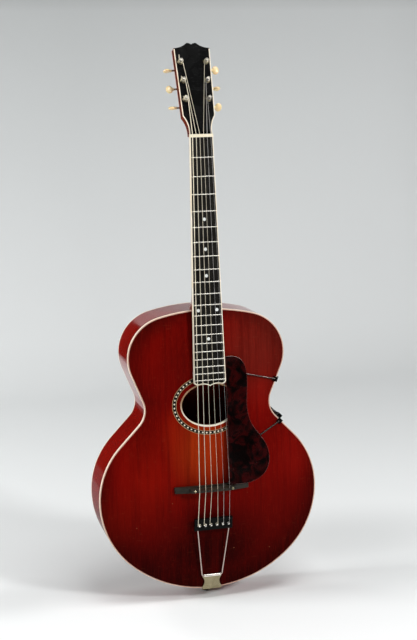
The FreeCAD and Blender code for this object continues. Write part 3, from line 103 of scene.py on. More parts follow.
paper = bmesh.new()
paper.edges.new([paper.verts.new((x, paper_front, floor_level)) for x in (-paper_side, paper_side)])
run = bmesh.ops.extrude_edge_only(paper, edges=paper.edges[:])["geom"]
bmesh.ops.translate(paper, verts=only(bmesh.types.BMVert, run), vec=(0, bend_start - paper_front, 0))
bend = bmesh.ops.spin(
    paper, geom=only(bmesh.types.BMEdge, run) + only(bmesh.types.BMVert, run), axis=(1, 0, 0),
    cent=(0, bend_start, floor_level + bend_radius), angle=math.radians(90), steps=bend_steps,
)["geom_last"]
wall = bmesh.ops.extrude_edge_only(paper, edges=only(bmesh.types.BMEdge, bend))["geom"]
bmesh.ops.translate(paper, verts=only(bmesh.types.BMVert, wall), vec=(0, 0, wall_rise))
bmesh.ops.recalc_face_normals(paper, faces=paper.faces)
if min(paper.faces, key=lambda f: f.calc_center_median().z).normal.z < 0:
    bmesh.ops.reverse_faces(paper, faces=paper.faces)
for face in paper.faces:
    face.smooth = True


def add(tree, kind, sockets=None, **settings):
    """Add a node, with its settings, and with values or links on its sockets."""
    made = tree.nodes.new(kind)
    for key, value in settings.items():
        setattr(made, key, value)
    for key, value in (sockets or {}).items():
        if isinstance(value, bpy.types.NodeSocket):
            tree.links.new(value, made.inputs[key])
        else:
            made.inputs[key].default_value = value
    return made


def own_place(tree):
    """The coordinates of a piece."""
    return add(tree, "ShaderNodeTexCoord").outputs["Object"]


def new_finish(name):
    """A material with its node tree, its shader and the coordinates of the piece."""
    finish = bpy.data.materials.new(name)
    finish.use_nodes = True
    tree = finish.node_tree
    return finish, tree, tree.nodes["Principled BSDF"], own_place(tree)


def parted(tree, vector):
    """The three axes of a vector, apart."""
    return add(tree, "ShaderNodeSeparateXYZ", {0: vector}).outputs


def spread(tree, value, low, high, start=0.0, end=1.0):
    """A value carried from one range to another: low at its start and high at its end."""
    sockets = {"Value": value, "From Min": start, "From Max": end, "To Min": low, "To Max": high}
    return add(tree, "ShaderNodeMapRange", sockets).outputs[0]


def maths(tree, way, first, second):
    """Two values joined by one operation."""
    return add(tree, "ShaderNodeMath", {0: first, 1: second}, operation=way).outputs[0]


def noise(tree, place, scale, detail, roughness=0.5, distortion=0.0):
    """A cloudy value that changes over the surface."""
    sockets = {
        "Vector": place, "Scale": scale, "Detail": detail, "Roughness": roughness, "Distortion": distortion,
    }
    return add(tree, "ShaderNodeTexNoise", sockets).outputs[0]


def mixed(tree, share, under, over):
    """One colour over another by a share that changes over the surface."""
    sockets = {0: share}
    for key, colour in ((6, under), (7, over)):
        sockets[key] = colour if isinstance(colour, bpy.types.NodeSocket) else (*colour, 1.0)
    return add(tree, "ShaderNodeMix", sockets, data_type="RGBA").outputs[2]


def laid(tree, under, mask, strength, over):
    """A colour laid over another where a mask shows, at a strength."""
    return mixed(tree, maths(tree, "MULTIPLY", mask, strength), under, over)


def stretched(tree, place, factors):
    """Coordinates multiplied along each axis."""
    return add(tree, "ShaderNodeVectorMath", {0: place, 1: factors}, operation="MULTIPLY").outputs[0]


def patch(tree, place, middle, reach, inner):
    """A soft oval patch: one at its middle, nothing at its reach."""
    moved = add(tree, "ShaderNodeVectorMath", {0: place, 1: middle}, operation="SUBTRACT").outputs[0]
    shrunk = stretched(tree, moved, [1 / r for r in reach])
    out = add(tree, "ShaderNodeVectorMath", {0: shrunk}, operation="LENGTH").outputs["Value"]
    sockets = {"Value": out, "From Min": inner, "From Max": 1.0, "To Min": 1.0, "To Max": 0.0}
    return add(tree, "ShaderNodeMapRange", sockets, interpolation_type="SMOOTHSTEP").outputs[0]


pale_paper = (0.83, 0.85, 0.85)
paler_paper = (0.86, 0.88, 0.88)
treble_white = (0.95, 0.97, 0.97)
front_white = (0.96, 0.97, 0.97)
shade_grey = (0.45, 0.46, 0.46)
upper_grey = (0.20, 0.21, 0.21)
above_black = (0.03, 0.03, 0.03)
mirror_black = (0.004, 0.004, 0.004)
treble_part = (0.2, 1.4)
paper_finish, tree, shader, place = new_finish("studio_paper")
axes = parted(tree, place)
sheet = mixed(tree, noise(tree, place, scale=1.3, detail=2.0), pale_paper, paler_paper)
# painted light: it is paler to the treble side and in front
sheet = mixed(tree, spread(tree, axes[0], 0.0, 1.0, *treble_part), sheet, treble_white)
sheet = mixed(tree, spread(tree, axes[1], 1.0, 0.0, -0.35, -0.05), sheet, front_white)
# soft shade is painted on it in three places: behind on the treble side, far on the bass side and
# under the guitar
for middle, reach, share in (
    ((0.33, 0.20, floor_level), (0.45, 0.28, 1.0), 0.42),
    ((-0.36, 0.06, floor_level), (0.17, 0.13, 1.0), 0.36),
    ((-0.09, 0.00, floor_level), (0.13, 0.06, 1.0), 0.40),
):
    sheet = laid(tree, sheet, patch(tree, place, middle, reach, inner=0.1), share, shade_grey)
# painted shade: it darkens as it rises, less so on the treble side, and is almost black above the picture
rising = spread(tree, axes[2], 0.0, 0.52, 0.1, 1.3)
grade = maths(tree, "MULTIPLY", rising, spread(tree, axes[0], 1.0, 0.78, *treble_part))
sheet = mixed(tree, grade, sheet, upper_grey)
sheet = mixed(tree, spread(tree, axes[2], 0.0, 1.0, 1.25, 1.6), sheet, above_black)
# mirrored in the varnish it is dark past the bass side and in front, and dim on the floor's bass half as
# a painted shadow of the guitar
past_bass = spread(tree, axes[0], 1.0, 0.0, -0.47, -0.43)
aside = maths(tree, "MULTIPLY", past_bass, spread(tree, axes[2], 0.88, 1.0, 0.05, 0.08))
before = spread(tree, axes[1], 1.0, 0.0, -0.9, -0.6)
bass_half = spread(tree, axes[0], 1.0, 0.0, -0.22, -0.05)
beside = maths(tree, "MULTIPLY", spread(tree, axes[1], 0.72, 0.0, 1.1, 1.35), bass_half)
dark = maths(tree, "MAXIMUM", beside, maths(tree, "MAXIMUM", aside, before))
mirrored = add(tree, "ShaderNodeLightPath").outputs["Is Glossy Ray"]
sheet = mixed(tree, maths(tree, "MULTIPLY", mirrored, dark), sheet, mirror_black)
tree.links.new(sheet, shader.inputs["Base Color"])
shader.inputs["Roughness"].default_value = 0.9
shader.inputs["Specular IOR Level"].default_value = 0.1
# from behind it is clear, so that the guitar's back can be seen
clear = add(tree, "ShaderNodeBsdfTransparent").outputs[0]
behind = add(tree, "ShaderNodeNewGeometry").outputs["Backfacing"]
either = add(tree, "ShaderNodeMixShader", {0: behind, 1: shader.outputs[0], 2: clear}).outputs[0]
tree.links.new(either, tree.nodes["Material Output"].inputs["Surface"])


def put(name, mesh, finish):
    """Make a piece of a finished bmesh, with its place in its mesh."""
    made = bpy.data.meshes.new(name)
    mesh.to_mesh(made)
    mesh.free()
    made.materials.append(finish)
    piece = bpy.data.objects.new(name, made)
    bpy.context.scene.collection.objects.link(piece)
    return piece


put("paper_sweep", paper, paper_finish)


def soft_box(name, at, towards, width, height, power):
    """A large lamp of even light at a place, aimed at a point."""
    lamp = bpy.data.lights.new(name, "AREA")
    lamp.shape = "RECTANGLE"
    lamp.size = width
    lamp.size_y = height
    lamp.energy = power
    stand = bpy.data.objects.new(name, lamp)
    stand.location = at
    stand.rotation_mode = "QUATERNION"
    stand.rotation_quaternion = (Vector(at) - Vector(towards)).to_track_quat("Z", "Y")
    bpy.context.scene.collection.objects.link(stand)


soft_box("key_box", (1.8, -2.5, 1.9), (0.0, 0.0, 0.3), width=0.6, height=0.6, power=73.0)
soft_box("bass_box", (-2.4, 0.25, 1.1), (0.0, 0.0, 0.35), width=0.6, height=1.0, power=46.0)
soft_box("overhead_box", (0.45, -0.95, 3.2), (0.3, 0.1, 0.2), width=1.8, height=1.4, power=51.0)
soft_box("back_box", (-1.7, 2.1, 2.1), (0.0, 0.0, 0.5), width=0.8, height=0.8, power=16.0)
# the room is dark to the lamps and the varnish, and pale where a view looks past the paper
room_light = 0.03
room_seen = 0.7
room_tone = (0.88, 0.90, 0.91, 1)
world = bpy.data.worlds.new("studio_air")
world.use_nodes = True
tree = world.node_tree
air = tree.nodes["Background"]
seen = add(tree, "ShaderNodeLightPath").outputs["Is Camera Ray"]
tree.links.new(spread(tree, seen, room_light, room_seen), air.inputs["Strength"])
air.inputs["Color"].default_value = room_tone
bpy.context.scene.world = world

# Top plate. Two boards of spruce joined down the middle and carved to an arch, stained dark cherry
# and varnished, rubbed thin and orange below the sound hole, and almost black towards the tailpiece,
# partly in stain and partly in painted shade.
deep_cherry = (0.108, 0.0012, 0.0006)
bright_cherry = (0.200, 0.0022, 0.0008)
warm_cherry = (0.235, 0.0042, 0.0010)
edge_cherry = (0.026, 0.0010, 0.0007)
treble_cherry = (0.050, 0.0010, 0.0006)
rubbed_orange = (0.33, 0.027, 0.0030)
low_cherry = (0.012, 0.0004, 0.0003)
tail_cherry = (0.006, 0.0003, 0.0003)
streak_brown = (0.060, 0.0012, 0.0008)
ring_brown = (0.040, 0.0010, 0.0007)
fibre_red = (0.30, 0.012, 0.005)
chip_tan = (0.36, 0.12, 0.06)
scuff_tan = (0.30, 0.08, 0.04)
top_face = -0.05


def finish_node(name, finish):
    """Give a solid of the frame its finish."""
    skins = frame["nodes"][name].data.materials
    skins.clear()
    skins.append(finish)


def new_group(name, inputs, outputs):
    """A shared effect with named sockets, and its two end nodes."""
    group = bpy.data.node_groups.new(name, "ShaderNodeTree")
    for way, names in (("INPUT", inputs), ("OUTPUT", outputs)):
        for key in names:
            kind = "NodeSocketVector" if key == "Vector" else "NodeSocketFloat"
            group.interface.new_socket(name=key, in_out=way, socket_type=kind)
    return group, group.nodes.new("NodeGroupInput").outputs, group.nodes.new("NodeGroupOutput").inputs


def streaks(tree, place, factors, detail, **more):
    """A cloudy value drawn out along the axes."""
    return noise(tree, stretched(tree, place, factors), scale=1.0, detail=detail, **more)


# wood grain: year rings counted across the board, which drift and differ in width, fibres, and clouds
grain, given, result = new_group("wood_grain", ("Vector", "Rings", "Waver"), ("Rings", "Fibre", "Cloud"))
cloud = streaks(grain, given["Vector"], (9.0, 9.0, 2.2), detail=3.0)
uneven = streaks(grain, given["Vector"], (140.0, 140.0, 1.4), detail=2.0)
fibre = streaks(grain, given["Vector"], (900.0, 900.0, 28.0), detail=2.0)
drift = maths(grain, "MULTIPLY", cloud, given["Waver"])
drift = maths(grain, "ADD", drift, maths(grain, "MULTIPLY", uneven, 4.0))
across = maths(grain, "MULTIPLY", parted(grain, given["Vector"])[0], given["Rings"])
year = add(grain, "ShaderNodeMath", {0: maths(grain, "ADD", across, drift)}, operation="FRACT").outputs[0]
grain.links.new(maths(grain, "POWER", year, 3.0), result["Rings"])
grain.links.new(fibre, result["Fibre"])
grain.links.new(cloud, result["Cloud"])

# handling marks: smears of the hand, fine scuffs, and specks in a few of the cells of a loose pattern
handling, given, result = new_group("handling_marks", ("Vector", "Size"), ("Smear", "Scuff", "Speck"))
sized = {0: given["Vector"], "Scale": given["Size"]}
spots = add(handling, "ShaderNodeVectorMath", sized, operation="SCALE").outputs[0]
haze = noise(handling, spots, scale=1.0, detail=4.0, distortion=0.6)
handling.links.new(spread(handling, haze, 0.0, 1.0, 0.35, 0.7), result["Smear"])
strokes = streaks(handling, spots, (3.0, 40.0, 26.0), detail=1.0, distortion=0.4)
handling.links.new(spread(handling, strokes, 0.0, 1.0, 0.66, 0.74), result["Scuff"])
cells = add(handling, "ShaderNodeTexVoronoi", {"Vector": spots, "Scale": 2.0}).outputs
near = spread(handling, cells["Distance"], 1.0, 0.0, 0.03, 0.06)
chance = add(handling, "ShaderNodeSeparateColor", {0: cells["Color"]}).outputs[0]
few = maths(handling, "GREATER_THAN", chance, 0.72)
handling.links.new(maths(handling, "MULTIPLY", near, few), result["Speck"])


def grained(tree, place, rings, waver):
    """The wood grain in a material, by the rings in a metre and how far they waver."""
    sockets = {"Vector": place, "Rings": rings, "Waver": waver}
    return add(tree, "ShaderNodeGroup", sockets, node_tree=grain).outputs


def handled(tree, place, size):
    """The handling marks in a material, by their number in a metre."""
    return add(tree, "ShaderNodeGroup", {"Vector": place, "Size": size}, node_tree=handling).outputs


def surfaced(tree, shader, colour, rough, glint=0.5):
    """Give a shader its colour, its roughness and the strength of its glint."""
    tree.links.new(colour, shader.inputs["Base Color"])
    tree.links.new(rough, shader.inputs["Roughness"])
    shader.inputs["Specular IOR Level"].default_value = glint


def lifted(tree, shader, height, strength, distance):
    """Raise the surface a little by a height that changes over it."""
    bump = add(tree, "ShaderNodeBump", {"Height": height, "Strength": strength, "Distance": distance})
    tree.links.new(bump.outputs[0], shader.inputs["Normal"])


def on_top(tree, place, middle, reach, inner=0.1):
    """A soft oval patch on the top, by its middle and its reach across and up."""
    return patch(tree, place, (middle[0], top_face, middle[1]), (reach[0], 1.0, reach[1]), inner)


cherry_spruce, tree, shader, place = new_finish("cherry_spruce")
axes = parted(tree, place)
wood = grained(tree, place, rings=620.0, waver=3.0)
marks = handled(tree, place, size=22.0)
colour = mixed(tree, wood["Cloud"], deep_cherry, bright_cherry)
# it is paler on the bass side of the lower bout
colour = laid(tree, colour, on_top(tree, place, (-0.105, 0.235), (0.085, 0.15)), 0.7, warm_cherry)
# the top is darker towards the edges and on the treble side
lower_bout = on_top(tree, place, (0.0, 0.225), (0.212, 0.220), inner=0.76)
upper_bout = on_top(tree, place, (0.0, 0.430), (0.166, 0.118), inner=0.66)
edging = spread(tree, maths(tree, "MAXIMUM", lower_bout, upper_bout), 0.92, 0.0)
colour = mixed(tree, edging, colour, edge_cherry)
colour = mixed(tree, spread(tree, axes[0], 0.0, 0.34, 0.03, 0.14), colour, treble_cherry)
# below the sound hole it is rubbed thin
glow = patch(tree, place, (-0.014, -0.06, 0.292), (0.080, 1.0, 0.125), inner=0.05)
colour = mixed(tree, glow, colour, rubbed_orange)
# elsewhere it took unevenly, in darker and paler clouds, each with its middle, reach, share and colour
for middle, reach, share, stain in (
    ((0.090, 0.460), (0.110, 0.120), 0.55, (0.125, 0.0150, 0.0090)),
    ((-0.035, 0.440), (0.090, 0.140), 0.62, (0.072, 0.0016, 0.0009)),
    ((-0.120, 0.345), (0.056, 0.135), 0.46, (0.036, 0.0012, 0.0008)),
    ((-0.066, 0.318), (0.036, 0.062), 0.40, (0.280, 0.0100, 0.0020)),
    ((-0.165, 0.158), (0.062, 0.080), 0.55, (0.200, 0.0040, 0.0010)),
    ((0.162, 0.262), (0.048, 0.075), 0.45, (0.220, 0.0042, 0.0022)),
    ((0.100, 0.378), (0.034, 0.052), 0.40, (0.240, 0.0060, 0.0030)),
):
    colour = laid(tree, colour, on_top(tree, place, middle, reach), share, stain)
# towards the tailpiece it is almost black, partly a darker stain and partly painted shade where the
# arch turns down away from the light
dusk = on_top(tree, place, (0.01, 0.090), (0.20, 0.155))
foot = spread(tree, axes[2], 0.94, 0.0, 0.03, 0.23)
low = maths(tree, "MAXIMUM", maths(tree, "MULTIPLY", dusk, 0.95), foot)
colour = mixed(tree, low, colour, low_cherry)
colour = laid(tree, colour, on_top(tree, place, (-0.040, 0.078), (0.135, 0.056)), 0.55, tail_cherry)
# the grain shows through in streaks, rings and bright fibres, and wear in chips and scuffs
streak = streaks(tree, place, (130.0, 10.0, 3.5), detail=4.0, roughness=0.6)
colour = mixed(tree, spread(tree, streak, 0.0, 0.6, 0.46, 0.72), colour, streak_brown)
colour = mixed(tree, spread(tree, wood["Rings"], 0.0, 0.40), colour, ring_brown)
bright = spread(tree, wood["Fibre"], 0.0, 0.25, 0.5, 0.8)
bright = maths(tree, "MULTIPLY", bright, spread(tree, low, 1.0, 0.3))
colour = mixed(tree, bright, colour, fibre_red)
colour = laid(tree, colour, marks["Speck"], 0.5, chip_tan)
colour = laid(tree, colour, marks["Scuff"], 0.06, scuff_tan)
surfaced(tree, shader, colour, spread(tree, marks["Smear"], 0.34, 0.46), glint=0.014)
lifted(tree, shader, maths(tree, "ADD", wood["Rings"], wood["Fibre"]), strength=0.12, distance=0.0002)
finish_node("top_plate", cherry_spruce)

# Back, sides and neck. Birch and mahogany in the same cherry stain, under a full gloss varnish that
# mirrors the lamps. The back is one carved plate, the sides are bent in two halves and glued to it,
# and the neck is carved in one piece.
upright = (0, 0, 0)
round_rim = (0, 0, math.radians(90))
chip_brown = (0.36, 0.14, 0.07)


def glossy_cherry(name, turn, rings, pale, deep, glint):
    """Stained and varnished hardwood, with its grain turned to suit the piece."""
    finish, tree, shader, place = new_finish(name)
    turned = add(tree, "ShaderNodeMapping", {"Vector": place, "Rotation": turn}).outputs[0]
    wood = grained(tree, turned, rings, waver=6.0)
    marks = handled(tree, place, size=18.0)
    colour = mixed(tree, wood["Cloud"], pale, deep)
    colour = mixed(tree, spread(tree, wood["Rings"], 0.0, 0.4), colour, [c * 0.3 for c in deep])
    colour = mixed(tree, spread(tree, wood["Fibre"], 0.0, 0.3, 0.55, 0.8), colour, [c * 1.5 for c in pale])
    colour = laid(tree, colour, marks["Speck"], 0.4, chip_brown)
    surfaced(tree, shader, colour, spread(tree, marks["Smear"], 0.04, 0.11), glint)
    lifted(tree, shader, maths(tree, "ADD", wood["Rings"], wood["Fibre"]), strength=0.05, distance=0.0001)
    return finish


cherry_back = glossy_cherry(
    "cherry_birch_back", upright, rings=150.0, pale=(0.26, 0.010, 0.004), deep=(0.10, 0.003, 0.0016),
    glint=0.14,
)
cherry_rim = glossy_cherry(
    "cherry_birch_rim", round_rim, rings=260.0, pale=(0.29, 0.0075, 0.0035), deep=(0.18, 0.0035, 0.0018),
    glint=0.3,
)
cherry_neck = glossy_cherry(
    "cherry_mahogany_neck", upright, rings=320.0, pale=(0.22, 0.040, 0.018), deep=(0.12, 0.016, 0.008),
    glint=0.3,
)
finish_node("back_plate", cherry_back)
for half in ("side_bass", "side_treble"):
    finish_node(half, cherry_rim)
finish_node("neck", cherry_neck)

# Inside of the body. Bare blocks at the neck and the tail, kerfed linings along the rims and two
# braces across the top, glued in place and left unfinished. Only a little shows through the hole.
pale_spruce = (0.40, 0.25, 0.12)
brown_spruce = (0.30, 0.17, 0.075)
spruce_ring = (0.22, 0.11, 0.045)
bare_spruce, tree, shader, place = new_finish("bare_spruce")
wood = grained(tree, place, rings=420.0, waver=4.0)
colour = mixed(tree, wood["Cloud"], pale_spruce, brown_spruce)
colour = mixed(tree, spread(tree, wood["Rings"], 0.0, 0.5), colour, spruce_ring)
surfaced(tree, shader, colour, spread(tree, wood["Fibre"], 0.6, 0.8))
lifted(tree, shader, wood["Fibre"], strength=0.2, distance=0.0002)
for name in ("neck_block", "end_block", "linings", "top_braces"):
    finish_node(name, bare_spruce)

# Bindings. Strips of cream celluloid let into the edges of both plates, the sound hole, the board
# and the headstock, scraped flush. They have yellowed unevenly and hold a little dirt.
clean_cream = (0.90, 0.83, 0.70)
yellow_cream = (0.84, 0.72, 0.53)
cream_dirt = (0.30, 0.20, 0.10)
cream_scuff = (0.50, 0.36, 0.20)
binding_round = 0.0011
round_steps = 3
merge_gap = 1e-6
flat_turn = math.radians(0.5)
sharp_turn = math.radians(40)
smooth_turn = math.radians(35)
broad_flat = 0.0002
edge_on = 0.1
face_on = 0.9
body_middle = Vector((0.0, 0.0, 0.30))

aged_cream, tree, shader, place = new_finish("aged_cream_celluloid")
marks = handled(tree, place, size=30.0)
colour = mixed(tree, marks["Smear"], clean_cream, yellow_cream)
colour = laid(tree, colour, marks["Speck"], 0.6, cream_dirt)
colour = laid(tree, colour, marks["Scuff"], 0.25, cream_scuff)
surfaced(tree, shader, colour, spread(tree, marks["Smear"], 0.28, 0.42))
lifted(tree, shader, marks["Scuff"], strength=0.1, distance=0.0001)
for name in ("fingerboard_binding", "headstock_binding"):
    finish_node(name, aged_cream)


def softened(name, radius, finish, picked, edge_finish=None):
    """A copy of a solid with its picked sharp edges rounded, in the solid's place."""
    copy = bmesh.new()
    copy.from_mesh(frame["nodes"][name].data)
    bmesh.ops.remove_doubles(copy, verts=copy.verts, dist=merge_gap)
    bmesh.ops.dissolve_limit(copy, angle_limit=flat_turn, verts=copy.verts, edges=copy.edges)
    sharp = [e for e in copy.edges if e.calc_face_angle() > sharp_turn and picked(e)]
    rounded = bmesh.ops.bevel(
        copy, geom=sharp, offset=radius, offset_type="OFFSET", segments=round_steps, profile=0.5,
        affect="EDGES", clamp_overlap=True, material=-1,
    )["faces"]
    bmesh.ops.recalc_face_normals(copy, faces=copy.faces)
    # broad flats stay flat, small facets of curved walls and the rounded edges are shaded as one
    for face in copy.faces:
        face.smooth = face.calc_area() < broad_flat
    for edge in copy.edges:
        edge.smooth = edge.calc_face_angle() < smooth_turn
    if edge_finish:
        for face in rounded:
            face.material_index = 1
    piece = put("rounded_" + name, copy, finish)
    if edge_finish:
        piece.data.materials.append(edge_finish)
    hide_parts(name)
    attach(piece, "guitar")


def outer_corner(edge):
    """Whether an edge lies between a strip's outer wall and its flat face."""
    middle = (edge.verts[0].co + edge.verts[1].co) / 2
    walls = [f for f in edge.link_faces if abs(f.normal.y) < edge_on]
    flats = [f for f in edge.link_faces if abs(f.normal.y) > face_on and f.normal.y * middle.y > 0]
    return bool(walls and flats) and walls[0].normal.dot(middle - body_middle) > 0


def facing(tree, axis):
    """How far the surface faces along one of the three axes."""
    return parted(tree, add(tree, "ShaderNodeNewGeometry").outputs["Normal"])[axis]


def stained_celluloid(name, size, stain, deep_stain, clean_below=None):
    """Cream celluloid whose face the varnish has stained, and whose rounded edge, picked by the way the
    surface faces, stays cream: partly scraped clean and partly a painted highlight.
    """
    finish, tree, shader, place = new_finish(name)
    marks = handled(tree, place, size)
    share = spread(tree, facing(tree, 1), 1.0, 0.0, -0.9, -0.6)
    if clean_below:
        kept = spread(tree, parted(tree, place)[2], 0.0, 1.0, *clean_below)
        share = maths(tree, "MULTIPLY", share, kept)
    clean = mixed(tree, marks["Smear"], clean_cream, yellow_cream)
    colour = mixed(tree, share, clean, mixed(tree, marks["Smear"], stain, deep_stain))
    surfaced(tree, shader, colour, spread(tree, marks["Smear"], 0.28, 0.42))
    lifted(tree, shader, marks["Scuff"], strength=0.1, distance=0.0001)
    return finish


red_edged_cream = stained_celluloid(
    "red_edged_celluloid", size=30.0, stain=(0.60, 0.38, 0.29), deep_stain=(0.48, 0.26, 0.19),
)
softened("top_binding", binding_round, red_edged_cream, outer_corner)
softened("back_binding", binding_round, aged_cream, outer_corner)
# round the sound hole the face is stained brown except along the lower edge, where it stays cream
hole_cream = stained_celluloid(
    "stained_cream_celluloid", size=40.0, stain=(0.40, 0.24, 0.13), deep_stain=(0.30, 0.15, 0.07),
    clean_below=(0.334, 0.374),
)
finish_node("soundhole_binding", hole_cream)

# Ring round the sound hole. A black band between two thin tan lines, inlaid with a row of small white
# diamonds laid point to point round the oval. The row stops where the board covers it.
hole_middle = 0.366
ring_wide = 0.0643
ring_high = 0.0513
ring_steps = 3600
board_end = 0.401
board_half = 0.033
diamond_count = 50
diamond_long = 0.0020
diamond_wide = 0.0017
diamond_deep = 0.0008
diamond_taper = 0.94
in_front = -0.2


def inlay(name, size, clean, dirty, smooth, rough):
    """A thin inlay that goes over to another tone where hands have been."""
    finish, tree, shader, place = new_finish(name)
    marks = handled(tree, place, size)
    colour = mixed(tree, marks["Smear"], clean, dirty)
    surfaced(tree, shader, colour, spread(tree, marks["Smear"], smooth, rough))
    return finish, tree, shader, marks


black_inlay, tree, shader, marks = inlay(
    "black_inlay", size=40.0, clean=(0.004, 0.0036, 0.0034), dirty=(0.009, 0.008, 0.007),
    smooth=0.25, rough=0.4,
)
shader.inputs["Specular IOR Level"].default_value = 0.12
lifted(tree, shader, marks["Scuff"], strength=0.08, distance=0.0001)
finish_node("rosette_band", black_inlay)
tan_line, *_ = inlay(
    "tan_wood_line", size=90.0, clean=(0.42, 0.29, 0.15), dirty=(0.27, 0.16, 0.07), smooth=0.3, rough=0.45,
)
finish_node("rosette_lines", tan_line)
white_inlay, *_ = inlay(
    "white_inlay", size=160.0, clean=(0.86, 0.82, 0.70), dirty=(0.72, 0.64, 0.46), smooth=0.25, rough=0.4,
)

band_mesh = frame["nodes"]["rosette_band"].data
band_skin = BVHTree.FromPolygons(
    [v.co for v in band_mesh.vertices], [p.vertices for p in band_mesh.polygons],
)
diamonds = bmesh.new()
# equal steps along the oval are found by walking it in small turns
walk = [0.0]
for i in range(ring_steps):
    t = (i + 0.5) * math.tau / ring_steps
    pace = math.hypot(ring_wide * math.sin(t), ring_high * math.cos(t)) * math.tau / ring_steps
    walk.append(walk[-1] + pace)
for number in range(diamond_count):
    distance = walk[-1] * (number + 0.5) / diamond_count
    t = next(i for i, length in enumerate(walk) if length >= distance) * math.tau / ring_steps
    x = ring_wide * math.cos(t)
    z = hole_middle + ring_high * math.sin(t)
    if z > board_end and abs(x) < board_half:
        continue
    point, outward, _, _ = band_skin.ray_cast(Vector((x, in_front, z)), Vector((0, 1, 0)))
    along = Vector((-ring_wide * math.sin(t), 0, ring_high * math.cos(t)))
    along = (along - outward * along.dot(outward)).normalized()
    turn = Matrix((along, outward.cross(along), outward)).transposed().to_4x4()
    seat = Matrix.Translation(point) @ turn @ Matrix.Diagonal((diamond_long, diamond_wide, 1, 1))
    bmesh.ops.create_cone(
        diamonds, cap_ends=True, segments=4, radius1=1.0, radius2=diamond_taper, depth=diamond_deep,
        matrix=seat,
    )
bmesh.ops.recalc_face_normals(diamonds, faces=diamonds.faces)
row = put("rosette_diamonds", diamonds, white_inlay)
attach(row, "guitar")

# Fingerboard. Dyed hardwood, black with a little brown in the grain and greyed where fingers have
# rubbed it, with pearl dots let in and nickel-silver frets hammered into sawn slots.
board_black = (0.0040, 0.0033, 0.0024)
board_brown = (0.0085, 0.0075, 0.0060)
board_fibre = (0.026, 0.022, 0.016)
board_rubbed = (0.018, 0.017, 0.014)
black_board, tree, shader, place = new_finish("black_board")
wood = grained(tree, place, rings=700.0, waver=5.0)
marks = handled(tree, place, size=40.0)
colour = mixed(tree, wood["Cloud"], board_black, board_brown)
colour = mixed(tree, spread(tree, wood["Fibre"], 0.0, 0.5, 0.5, 0.8), colour, board_fibre)
colour = laid(tree, colour, marks["Smear"], 0.3, board_rubbed)
surfaced(tree, shader, colour, spread(tree, marks["Smear"], 0.36, 0.55), glint=0.12)
lifted(tree, shader, wood["Fibre"], strength=0.25, distance=0.0002)
finish_node("fingerboard", black_board)

pearl_white = (0.88, 0.86, 0.80)
pearl_blue = (0.70, 0.76, 0.78)
pearl, tree, shader, place = new_finish("pearl")
layers = noise(tree, place, scale=420.0, detail=3.0, distortion=1.5)
colour = mixed(tree, layers, pearl_white, pearl_blue)
surfaced(tree, shader, colour, spread(tree, layers, 0.12, 0.3))
finish_node("position_dots", pearl)


def old_metal(name, bright, stain, smooth, rough, size):
    """Metal with a stain and a worn, uneven shine."""
    finish, tree, shader, place = new_finish(name)
    marks = handled(tree, place, size)
    colour = laid(tree, bright, marks["Smear"], 0.5, stain)
    colour = laid(tree, colour, marks["Speck"], 0.5, [c * 0.4 for c in stain])
    surfaced(tree, shader, colour, spread(tree, marks["Smear"], smooth, rough))
    shader.inputs["Metallic"].default_value = 1.0
    lifted(tree, shader, marks["Scuff"], strength=0.06, distance=0.0001)
    return finish


fret_metal = old_metal(
    "nickel_silver", (0.78, 0.76, 0.70), (0.52, 0.48, 0.38), smooth=0.16, rough=0.34, size=60.0,
)
finish_node("frets", fret_metal)

# Nut. A strip of bone, yellowed and with fine pores along it, glued across the end of the board
# against the head's veneer and filed with a slot for each string.
bone_white = (0.86, 0.80, 0.64)
bone_yellow = (0.74, 0.64, 0.44)
bone, tree, shader, place = new_finish("bone")
pore = streaks(tree, place, (260.0, 900.0, 900.0), detail=3.0)
colour = mixed(tree, pore, bone_white, bone_yellow)
surfaced(tree, shader, colour, spread(tree, pore, 0.3, 0.45))
lifted(tree, shader, pore, strength=0.1, distance=0.0001)
finish_node("nut", bone)

# Headstock face. A thin black veneer glued over the whole front of the head, bored for the posts,
# then varnished. It is rubbed dull and a little scratched.
veneer_black = (0.0020, 0.0022, 0.0022)
veneer_grey = (0.0040, 0.0040, 0.0038)
veneer_scuff = (0.04, 0.04, 0.04)
veneer_chip = (0.10, 0.09, 0.08)
black_veneer, tree, shader, place = new_finish("black_veneer")
wood = grained(tree, place, rings=500.0, waver=5.0)
marks = handled(tree, place, size=36.0)
colour = mixed(tree, wood["Cloud"], veneer_black, veneer_grey)
colour = laid(tree, colour, marks["Scuff"], 0.35, veneer_scuff)
colour = laid(tree, colour, marks["Speck"], 0.5, veneer_chip)
surfaced(tree, shader, colour, spread(tree, marks["Smear"], 0.22, 0.38), glint=0.05)
lifted(tree, shader, maths(tree, "ADD", wood["Fibre"], marks["Scuff"]), strength=0.08, distance=0.0001)
finish_node("headstock_veneer", black_veneer)

# Tuning machines. Two strips of plated brass screwed to the back of the head carry three worms each.
# Every worm turns a brass wheel on a post that comes up through a bushing, and ends in an ivoroid
# button.
post_axis = (0.0, 0.93728, -0.34857)
wheel_front = -0.3222
post_plating = (0.52, 0.49, 0.43)


def overlaid(finish, share, over):
    """Lay another colour over a finish by a share that changes over the surface."""
    tree = finish.node_tree
    base = tree.nodes["Principled BSDF"].inputs["Base Color"]
    tree.links.new(mixed(tree, share, base.links[0].from_socket, over), base)


old_nickel = old_metal(
    "old_nickel", (0.37, 0.325, 0.21), (0.20, 0.165, 0.09), smooth=0.20, rough=0.42, size=55.0,
)
gear_brass = old_metal(
    "gear_brass", (0.62, 0.45, 0.20), (0.28, 0.19, 0.08), smooth=0.26, rough=0.5, size=90.0,
)
# the wheels are bare brass, and the posts in front of the wheels are plated
tree = gear_brass.node_tree
sockets = {0: own_place(tree), 1: post_axis}
along = add(tree, "ShaderNodeVectorMath", sockets, operation="DOT_PRODUCT").outputs["Value"]
overlaid(gear_brass, maths(tree, "LESS_THAN", along, wheel_front), post_plating)

